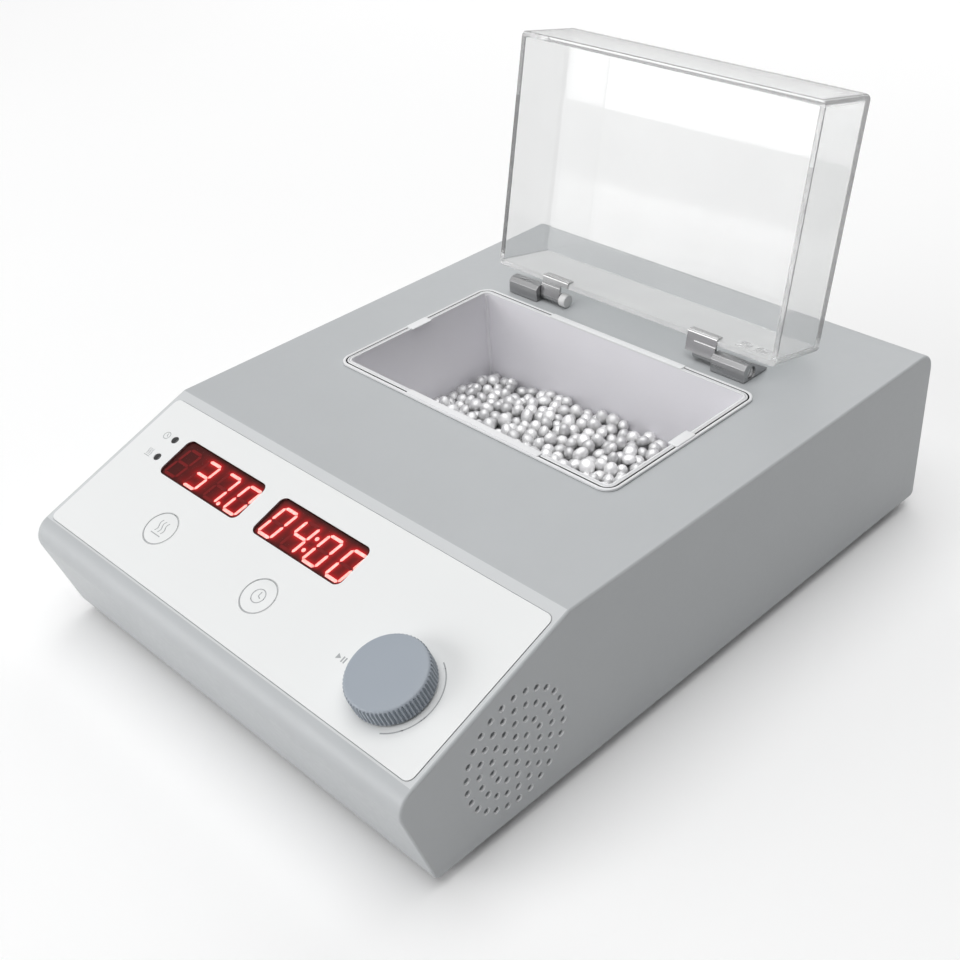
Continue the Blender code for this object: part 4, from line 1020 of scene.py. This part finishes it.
def build_rim(looks):
    """The frame round the well, with a narrow groove painted near black on its floor and both
    walls: a gasket's colour, with painted shade on the groove's walls.
    """
    top, low = RIM_TOP, RIM_TOP - 0.0016
    section = [
        (0.0000, CASE_TOP + 0.0002),
        (0.0000, top - 0.0005),
        (0.0001, top - 0.0002),
        (0.0004, top),
        (0.0009, top),
        (0.0011, top - 0.0001),
        (0.00125, top - 0.0003),
        (0.00125, low),
        (0.00185, low),
        (0.00185, top - 0.0003),
        (0.0020, top - 0.0001),
        (0.0022, top),
        (0.0025, top),
        (0.0026, top - 0.0001),
        (0.0026, CASE_TOP - 0.0060),
        (RIM_LIP, CASE_TOP - 0.0060),
        (RIM_LIP, CASE_TOP + 0.0002),
    ]
    rings = [well_ring(i, z, RIM_CORNER - i) for i, z in section]
    rim = loft("well_frame", rings, ring_closed=True)
    dress(rim, [looks["rim"], looks["gasket_and_groove_shade"]], "case", "well_rim")
    # Painted shade: the groove's floor and both walls are painted near black for the dark line the
    # groove shows.
    paint(rim, 1, lambda face: face.index // len(rings[0]) in GROOVE_ROWS)


def build_tray(looks):
    """The tray, drawn from under its floor, up its outside and down its inside."""
    outer, inner = TRAY_INSET, TRAY_INSET + TRAY_WALL
    bottom = TRAY_FLOOR + TRAY_WALL
    section = [
        (inner + 0.0040, TRAY_FLOOR, 0.002),
        (outer + 0.0010, TRAY_FLOOR, 0.0028),
        (outer + 0.0003, TRAY_FLOOR + 0.0004, 0.0032),
        (outer, TRAY_FLOOR + 0.0012, 0.0033),
        (outer, RIM_TOP - 0.0004, 0.0033),
        (outer + 0.0001, RIM_TOP - 0.0001, 0.0032),
        (outer + 0.0003, RIM_TOP, 0.0030),
        (inner - 0.0003, RIM_TOP, 0.0026),
        (inner - 0.0001, RIM_TOP - 0.0001, 0.0024),
        (inner, RIM_TOP - 0.0004, 0.0023),
        (inner, bottom + 0.0012, 0.0023),
        (inner + 0.0003, bottom + 0.0004, 0.0020),
        (inner + 0.0012, bottom, 0.0014),
    ]
    rings = [well_ring(i, z, c) for i, z, c in section]
    tray = loft("bead_tray_shell", rings, caps=(True, True))
    dress(tray, [looks["tray"], looks["rim"]], "case", "bead_tray")
    paint(tray, 1, lambda face: face.center.z > RIM_TOP - 0.0006)
    x, y = RIM_HALF[0] - inner - 0.0005, RIM_HALF[1] - inner - 0.0005
    corners = [(i * x, WELL_Y + j * y) for i in (-1, 1) for j in (-1, 1)]
    carve(tray, [bars("join_corner_seams", corners, SEAM_R, bottom, RIM_TOP - 0.0012)], "UNION")
    even_normals(tray)
    build_tabs(looks, inner)


def build_tabs(looks, inner):
    """Two tabs that hold the tray's front and rear edges, and a grip at each side."""
    reach_y = RIM_HALF[1] - 0.0004
    reach_x = RIM_HALF[0] - 0.0006
    inner_y = RIM_HALF[1] - inner + 0.0001
    inner_x = RIM_HALF[0] - inner - 0.0014
    across = (WELL_Y - GRIP_HALF, WELL_Y + GRIP_HALF)
    tabs = {
        "front": (TAB_X, (WELL_Y - reach_y, WELL_Y - inner_y)),
        "rear": (TAB_X, (WELL_Y + inner_y, WELL_Y + reach_y)),
        "left": ((-reach_x, -inner_x), across),
        "right": ((inner_x, reach_x), across),
    }
    height = (TAB_TOP - 0.0008, TAB_TOP)
    for name, (x, y) in tabs.items():
        tab = slab(f"tray_tab_{name}", x, y, height, edge=0.00025, corner=0.0006)
        dress(tab, [looks["rim"]], "case")


# ---- beads
def heap_height(x, y):
    """Height of the bead heap's surface: highest right of the middle, low at the left."""
    v = y - WELL_Y
    ridge = 0.0036 * exp(-(((x - 0.016) / 0.040) ** 2) - ((v - 0.016) / 0.030) ** 2)
    dip = 0.0022 * exp(-(((x + 0.072) / 0.030) ** 2) - ((v - 0.040) / 0.026) ** 2)
    ripple = 0.0011 * noise.noise((x * 55, y * 55, 0.3))
    return BEAD_LEVEL - 0.0006 + ridge - dip + ripple


def settle_beads():
    """Bead centres in three loose layers, pushed apart until they hardly overlap."""
    rng = random.Random(HEAP_SEED)
    half_x = RIM_HALF[0] - TRAY_INSET - TRAY_WALL - BEAD_R
    half_y = RIM_HALF[1] - TRAY_INSET - TRAY_WALL - BEAD_R
    pitch = 2 * BEAD_R * 0.985
    points, radii = [], []
    for layer in range(HEAP_LAYERS):
        rows = ceil(2 * half_y / (pitch * 0.87))
        for j in range(rows + 1):
            v = -half_y + 2 * half_y * j / rows
            count = ceil(2 * half_x / pitch)
            for i in range(count + 1):
                u = -half_x + 2 * half_x * (i + 0.5 * ((j + layer) % 2)) / count
                if abs(u) > half_x:
                    continue
                jog = Vector([rng.uniform(-0.75, 0.75) * BEAD_R for _ in range(3)])
                place = Vector((u, WELL_Y + v, 0)) + jog
                place.z += heap_height(place.x, place.y) - BEAD_R * (1.0 + 1.62 * layer)
                points.append(place)
                radii.append(BEAD_R * rng.uniform(*BEAD_SIZES))
    for _ in range(SETTLING_PASSES):
        tree = kdtree.KDTree(len(points))
        for i, p in enumerate(points):
            tree.insert(p, i)
        tree.balance()
        moves = [Vector((0, 0, 0)) for _ in points]
        for i, p in enumerate(points):
            for q, j, gap in tree.find_range(p, 2.2 * BEAD_R):
                apart = (radii[i] + radii[j]) * 0.97
                if j > i and 1e-9 < gap < apart:
                    push = (p - q) * (0.45 * (apart - gap) / gap)
                    moves[i] += push
                    moves[j] -= push
        for i, move in enumerate(moves):
            p = points[i] + move
            p.x = max(-half_x, min(half_x, p.x))
            p.y = max(WELL_Y - half_y, min(WELL_Y + half_y, p.y))
            over = p.z + radii[i] - heap_height(p.x, p.y) - 0.0026
            if over > 0:
                p.z -= over * 0.6
            points[i] = p
    return points, radii, rng


def pebble_shape(detail):
    """A unit ball's points and triangles."""
    bm = bmesh.new()
    bmesh.ops.create_icosphere(bm, subdivisions=detail, radius=1.0)
    bm.verts.ensure_lookup_table()
    points = np.array([v.co[:] for v in bm.verts])
    faces = np.array([[v.index for v in f.verts] for f in bm.faces])
    bm.free()
    return points, faces


def build_heap(name, members, detail, looks, rng, replaced=None):
    """Many pebbles in one mesh: uneven ellipsoids, each with a tone of its own."""
    ball, faces = pebble_shape(detail)
    points, triangles, tones = [], [], []
    for k, (place, radius) in enumerate(members):
        stretch = np.array([rng.uniform(*limits) for limits in BEAD_STRETCH])
        turn = np.array(Euler([rng.uniform(0, 2 * pi) for _ in range(3)]).to_matrix())
        wave = np.array([[rng.uniform(-1.6, 1.6) for _ in range(3)] for _ in range(3)])
        phase = np.array([rng.uniform(0, 2 * pi) for _ in range(3)])
        swell = 1 + 0.05 * np.sin(ball @ wave.T + phase).sum(axis=1, keepdims=True) / 1.5
        points.append((ball * swell * stretch * radius) @ turn.T + np.array(place))
        triangles.append(faces + k * len(ball))
        tones.append(np.full(len(ball), rng.random()))
    mesh = bpy.data.meshes.new(name)
    mesh.from_pydata(np.concatenate(points).tolist(), [], np.concatenate(triangles).tolist())
    mesh.shade_smooth()
    tone = mesh.attributes.new("tone", "FLOAT", "POINT")
    tone.data.foreach_set("value", np.concatenate(tones).astype(np.float32))
    dress(add_object(name, mesh), [looks["beads"]], "case", replaced)


def build_beads(looks):
    """The pebbles, finer in shape where they lie on top."""
    points, radii, rng = settle_beads()
    beads = sorted(zip(points, radii), key=lambda b: heap_height(b[0].x, b[0].y) - b[0].z)
    shown = len(beads) * 2 // 5
    build_heap("beads_on_top", beads[:shown], 3, looks, rng, "bead_bed")
    build_heap("beads_below", beads[shown:], 2, looks, rng)


# ---- lid
def lid_ring(inset, z, corner):
    x = LID_HALF_X - inset
    outline = rounded(rectangle(-x, x, LID_FRONT + inset, LID_BACK - inset), corner, 6)
    return [(u, v, z) for u, v in outline]


def build_lid(looks):
    """A clear box, drawn shut: outer wall up, round the top edge, then back down inside."""
    section = [(0.0003, LID_RIM, 0.0019), (0.0, LID_RIM + 0.0003, LID_CORNER)]
    for k in range(6):
        a = pi / 2 * k / 5
        inset = LID_EDGE * (1 - cos(a))
        section.append((inset, LID_TOP - LID_EDGE * (1 - sin(a)), LID_CORNER - inset * 0.9))
    inner = [
        (LID_WALL + 0.0008, LID_TOP - LID_WALL, 0.0004),
        (LID_WALL + 0.0002, LID_TOP - LID_WALL - 0.0002, 0.0007),
        (LID_WALL, LID_TOP - LID_WALL - 0.0008, 0.0008),
        (LID_WALL, LID_RIM + 0.0003, 0.0008),
        (LID_WALL - 0.0003, LID_RIM, 0.0010),
    ]
    bm = bmesh.new()
    outer_rows = [[bm.verts.new(p) for p in lid_ring(*s)] for s in section]
    inner_rows = [[bm.verts.new(p) for p in lid_ring(*s)] for s in inner]
    for group in (outer_rows, inner_rows):
        for lower, upper in zip(group, group[1:]):
            wrap(bm, lower, upper)
    bm.faces.new(outer_rows[-1])
    bm.faces.new(inner_rows[0])
    wrap(bm, outer_rows[0], inner_rows[-1])
    lid = from_bmesh("lid_shell", bm, SHUT_LID)
    even_normals(lid)
    dress(lid, [looks["clear"], looks["veiled"]], "lid", "lid")
    paint(lid, 1, lambda face: face.center.y > LID_BACK - LID_WALL - 0.0002)


def build_lid_marks(looks):
    """A low pad with two plain rings, moulded on the inside of the lid's rear wall."""
    wall = LID_BACK - LID_WALL - 0.00002
    z = LID_RIM + 0.0054
    outline = rounded(rectangle(0.0525, 0.0673, z - 0.0034, z + 0.0034), 0.0010)
    marks = prism("lid_marks", outline, wall - 0.00025, wall, "y", SHUT_LID, 0.0001, 2)
    rings = []
    for x in (0.0564, 0.0638):
        for radius in (0.0026, 0.0012):
            ring = circle((x, z), radius, 40)
            core = circle((x, z), radius - 0.0004, 40)
            raised = prism("join_ring", ring, wall - 0.0006, wall - 0.0001, "y", SHUT_LID)
            carve(raised, [prism("cut_core", core, wall - 0.001, wall + 0.001, "y", SHUT_LID)])
            rings.append(raised)
    carve(marks, rings, "UNION")
    dress(marks, [looks["etched"]], "lid")


# ---- hinges
def build_clip(name, sign, looks):
    """A bent steel strip: lip inside the lid's wall, plate over its edge, curl round the pin."""
    top = LID_RIM - FIT
    lip = LID_BACK - LID_WALL - FIT
    wide = mirrored((CLIP_X[0], CLIP_X[2]), sign)
    narrow = mirrored((CLIP_X[1], CLIP_X[2]), sign)
    bend = (lip + CLIP_BEND, top + CLIP_BEND)
    strip = [(0.0006, top - CLIP_T), (0.0006, top)]
    strip += arc(bend, CLIP_BEND, 270, 180, 4)
    strip += [(lip, top + CLIP_FLANGE), (lip - CLIP_T, top + CLIP_FLANGE)]
    strip += arc(bend, CLIP_T + CLIP_BEND, 180, 270, 8)
    clip = prism(f"clip_{name}", strip, *wide, "x", SHUT_LID, 0.00012, 2)
    ring = circle((0, 0), KNUCKLE_R, 48)
    knuckle = prism(f"join_knuckle_{name}", ring, *narrow, "x", SHUT_LID, 0.00015, 2)
    plate = [(-0.0052, -KNUCKLE_R), (0.0, -KNUCKLE_R), (0.0, -0.0012), (-0.0052, -0.0012)]
    plate = rounded(plate, [0.0004, 0, 0, 0], 4)
    front = prism(f"join_plate_{name}", plate, *narrow, "x", SHUT_LID)
    carve(clip, [knuckle, front], "UNION")
    beside = mirrored((CLIP_X[0] - 0.002, CLIP_X[1]), sign)
    across = mirrored((CLIP_X[0] - 0.002, CLIP_X[2] + 0.002), sign)
    behind = (CLIP_WIDE_END[name], 0.004)
    notch = slab(f"cut_notch_{name}", beside, behind, (-0.004, 0.0), SHUT_LID)
    bore = bars(f"cut_bore_{name}", [(0, 0)], PIN_BORE_R, *across, "x", SHUT_LID, 32)
    carve(clip, [notch, bore])
    even_normals(clip)
    dress(clip, [looks["steel"]], "lid", f"lid_clip_{name}")


def build_block(name, sign, looks):
    """A hinge block: upright front, chamfer, narrow flat top, long slope to the rear."""
    base = -0.0031 + FIT
    corners = [
        (-0.0048, base),
        (0.0105, base),
        (0.0105, base + 0.0008),
        (0.0004, base + BLOCK_H),
        (-0.0033, base + BLOCK_H),
        (-0.0048, base + 0.0055),
    ]
    outline = rounded(corners, [0.0002, 0.0002, 0.0003, 0.0006, 0.0003, 0.0003], 4)
    low, high = mirrored(BLOCK_X, sign)
    block = prism(f"hinge_base_{name}", outline, low, high, "x", HINGE, 0.00025, 3)
    ends = (low - 0.001, high + 0.001)
    bore = bars(f"cut_bore_{name}", [(0, 0)], PIN_BORE_R, *ends, "x", HINGE, 40)
    mouth = mirrored((BLOCK_X[1] - 0.0030, BLOCK_X[1] + 0.001), sign)
    wide = bars(f"cut_mouth_{name}", [(0, 0)], BLOCK_MOUTH_R, *mouth, "x", HINGE, 48)
    carve(block, [bore, wide])
    even_normals(block)
    dress(block, [looks["block_steel"]], "case", f"hinge_block_{name}")


def build_pins(looks):
    """The left pin has a broad head at its inner end, the right a slotted one at its outer."""
    r, head, small = PIN_R, PIN_HEAD_R, SLOTTED_HEAD_R
    broad = [(0, -0.0595), (r, -0.0595), (r, -0.0360), (head, -0.0360), (head, -0.0331)]
    broad += [(head - 0.00015, -0.0328), (head - 0.0005, -0.0327), (0, -0.0327)]
    left = lathe("pin_left", broad, axis="x", place=HINGE)
    slotted = [(0, 0.0363), (r, 0.0363), (r, 0.0608), (small, 0.0608), (small, 0.0625)]
    slotted += [(small - 0.0002, 0.0627), (0, 0.0627)]
    right = lathe("pin_right", slotted, axis="x", place=HINGE)
    turn = HINGE @ Matrix.Rotation(PIN_SLOT_TURN, 4, "X")
    slot = slab("cut_pin_slot", (0.0619, 0.0655), (-0.00045, 0.00045), (-0.004, 0.004), turn)
    carve(right, [slot])
    for name, pin, look in (("left", left, "pin_head"), ("right", right, "pin_steel")):
        dress(pin, [looks[look]], "case", f"hinge_pin_{name}")


# ---- other nodes
NODE_LOOKS = {
    "base": ("base_plate",),
    "brass": ("board_standoff", "encoder_rotor"),
    "zinc": ("encoder_body", "encoder_shaft", "foot_screw", "hinge_screw", "mains_fuse")
    + ("temperature_sensor",),
    "board": ("control_board", "power_board"),
    "silicone": ("heater_pad", "heater_lead"),
    "aluminium": ("heating_block",),
    "felt": ("insulation",),
    "cable": ("signal_cable",),
}


def dress_nodes(frame, looks):
    """Gives each CAD node that still shows its material: black plastic unless listed above."""
    for name, node in frame["nodes"].items():
        if node.hide_render:
            continue
        listed = [look for look, starts in NODE_LOOKS.items() if name.startswith(starts)]
        node.data.materials.clear()
        node.data.materials.append(looks[(listed + ["black"])[0]])


# ---- studio
def area_light(name, place, size, power):
    """A rectangular lamp aimed at the heater."""
    lamp = bpy.data.lights.new(name, "AREA")
    lamp.shape = "RECTANGLE"
    lamp.size, lamp.size_y = size
    lamp.energy = power
    made = add_to_scene(name, lamp)
    made.location = place
    aim = Vector(LIT_POINT) - Vector(place)
    made.rotation_euler = aim.to_track_quat("-Z", "Y").to_euler()


def build_floor():
    floor = prism("studio_floor", rectangle(-3, 3, -3, 3), -0.02, 0.0)
    s = Shader("studio_floor")
    s.drive("Base Color", s.blend(s.noise(3, 2), (0.90, 0.90, 0.90), (0.92, 0.92, 0.92)))
    s.set(Roughness=0.9, Specular_IOR_Level=0.1)
    s.set(Emission_Color=(1.0, 1.0, 1.0, 1.0), Emission_Strength=0.05)
    floor.data.materials.append(s.material)


def build_studio():
    """A white room that is bright to look at but lights little, a soft sky and three lamps."""
    build_floor()
    world = bpy.data.worlds.new("studio")
    world.use_nodes = True
    nodes, links = world.node_tree.nodes, world.node_tree.links
    path = nodes.new("ShaderNodeLightPath")
    level = nodes.new("ShaderNodeMapRange")
    level.inputs["To Min"].default_value = ROOM_SEEN
    level.inputs["To Max"].default_value = ROOM_LIGHT
    links.new(path.outputs["Is Diffuse Ray"], level.inputs["Value"])
    links.new(level.outputs["Result"], nodes["Background"].inputs["Strength"])
    nodes["Background"].inputs["Color"].default_value = (1, 1, 1, 1)
    bpy.context.scene.world = world

    sky = bpy.data.lights.new("soft_sky", "SUN")
    sky.energy = SKY_POWER
    sky.angle = SKY_ANGLE
    add_to_scene("soft_sky", sky).rotation_euler = (SKY_TILT, 0, 0)
    for name, settings in AREA_LIGHTS.items():
        area_light(name, *settings)
    bpy.context.scene.view_settings.view_transform = "Standard"

    camera = add_to_scene("camera", bpy.data.cameras.new("camera"))
    camera.data.lens = LENS
    camera.location = CAMERA_PLACE
    camera.rotation_euler = [radians(a) for a in CAMERA_TURN]
    camera.data.clip_start = 0.01
    bpy.context.scene.camera = camera


# ---- assembly
for old in list(bpy.data.objects):
    bpy.data.objects.remove(old, do_unlink=True)
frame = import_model()
looks = make_materials()

build_case(looks)
build_feet(looks)
build_film(looks)
build_print(looks)
build_keys(looks)
build_lamps(looks)
for side in DISPLAY_X:
    build_display(side, looks)
build_knob(looks)
build_rim(looks)
build_tray(looks)
build_beads(looks)
build_lid(looks)
build_lid_marks(looks)
for side, sign in SIDES:
    build_clip(side, sign, looks)
    build_block(side, sign, looks)
build_pins(looks)
dress_nodes(frame, looks)
build_studio()

bpy.context.view_layer.update()
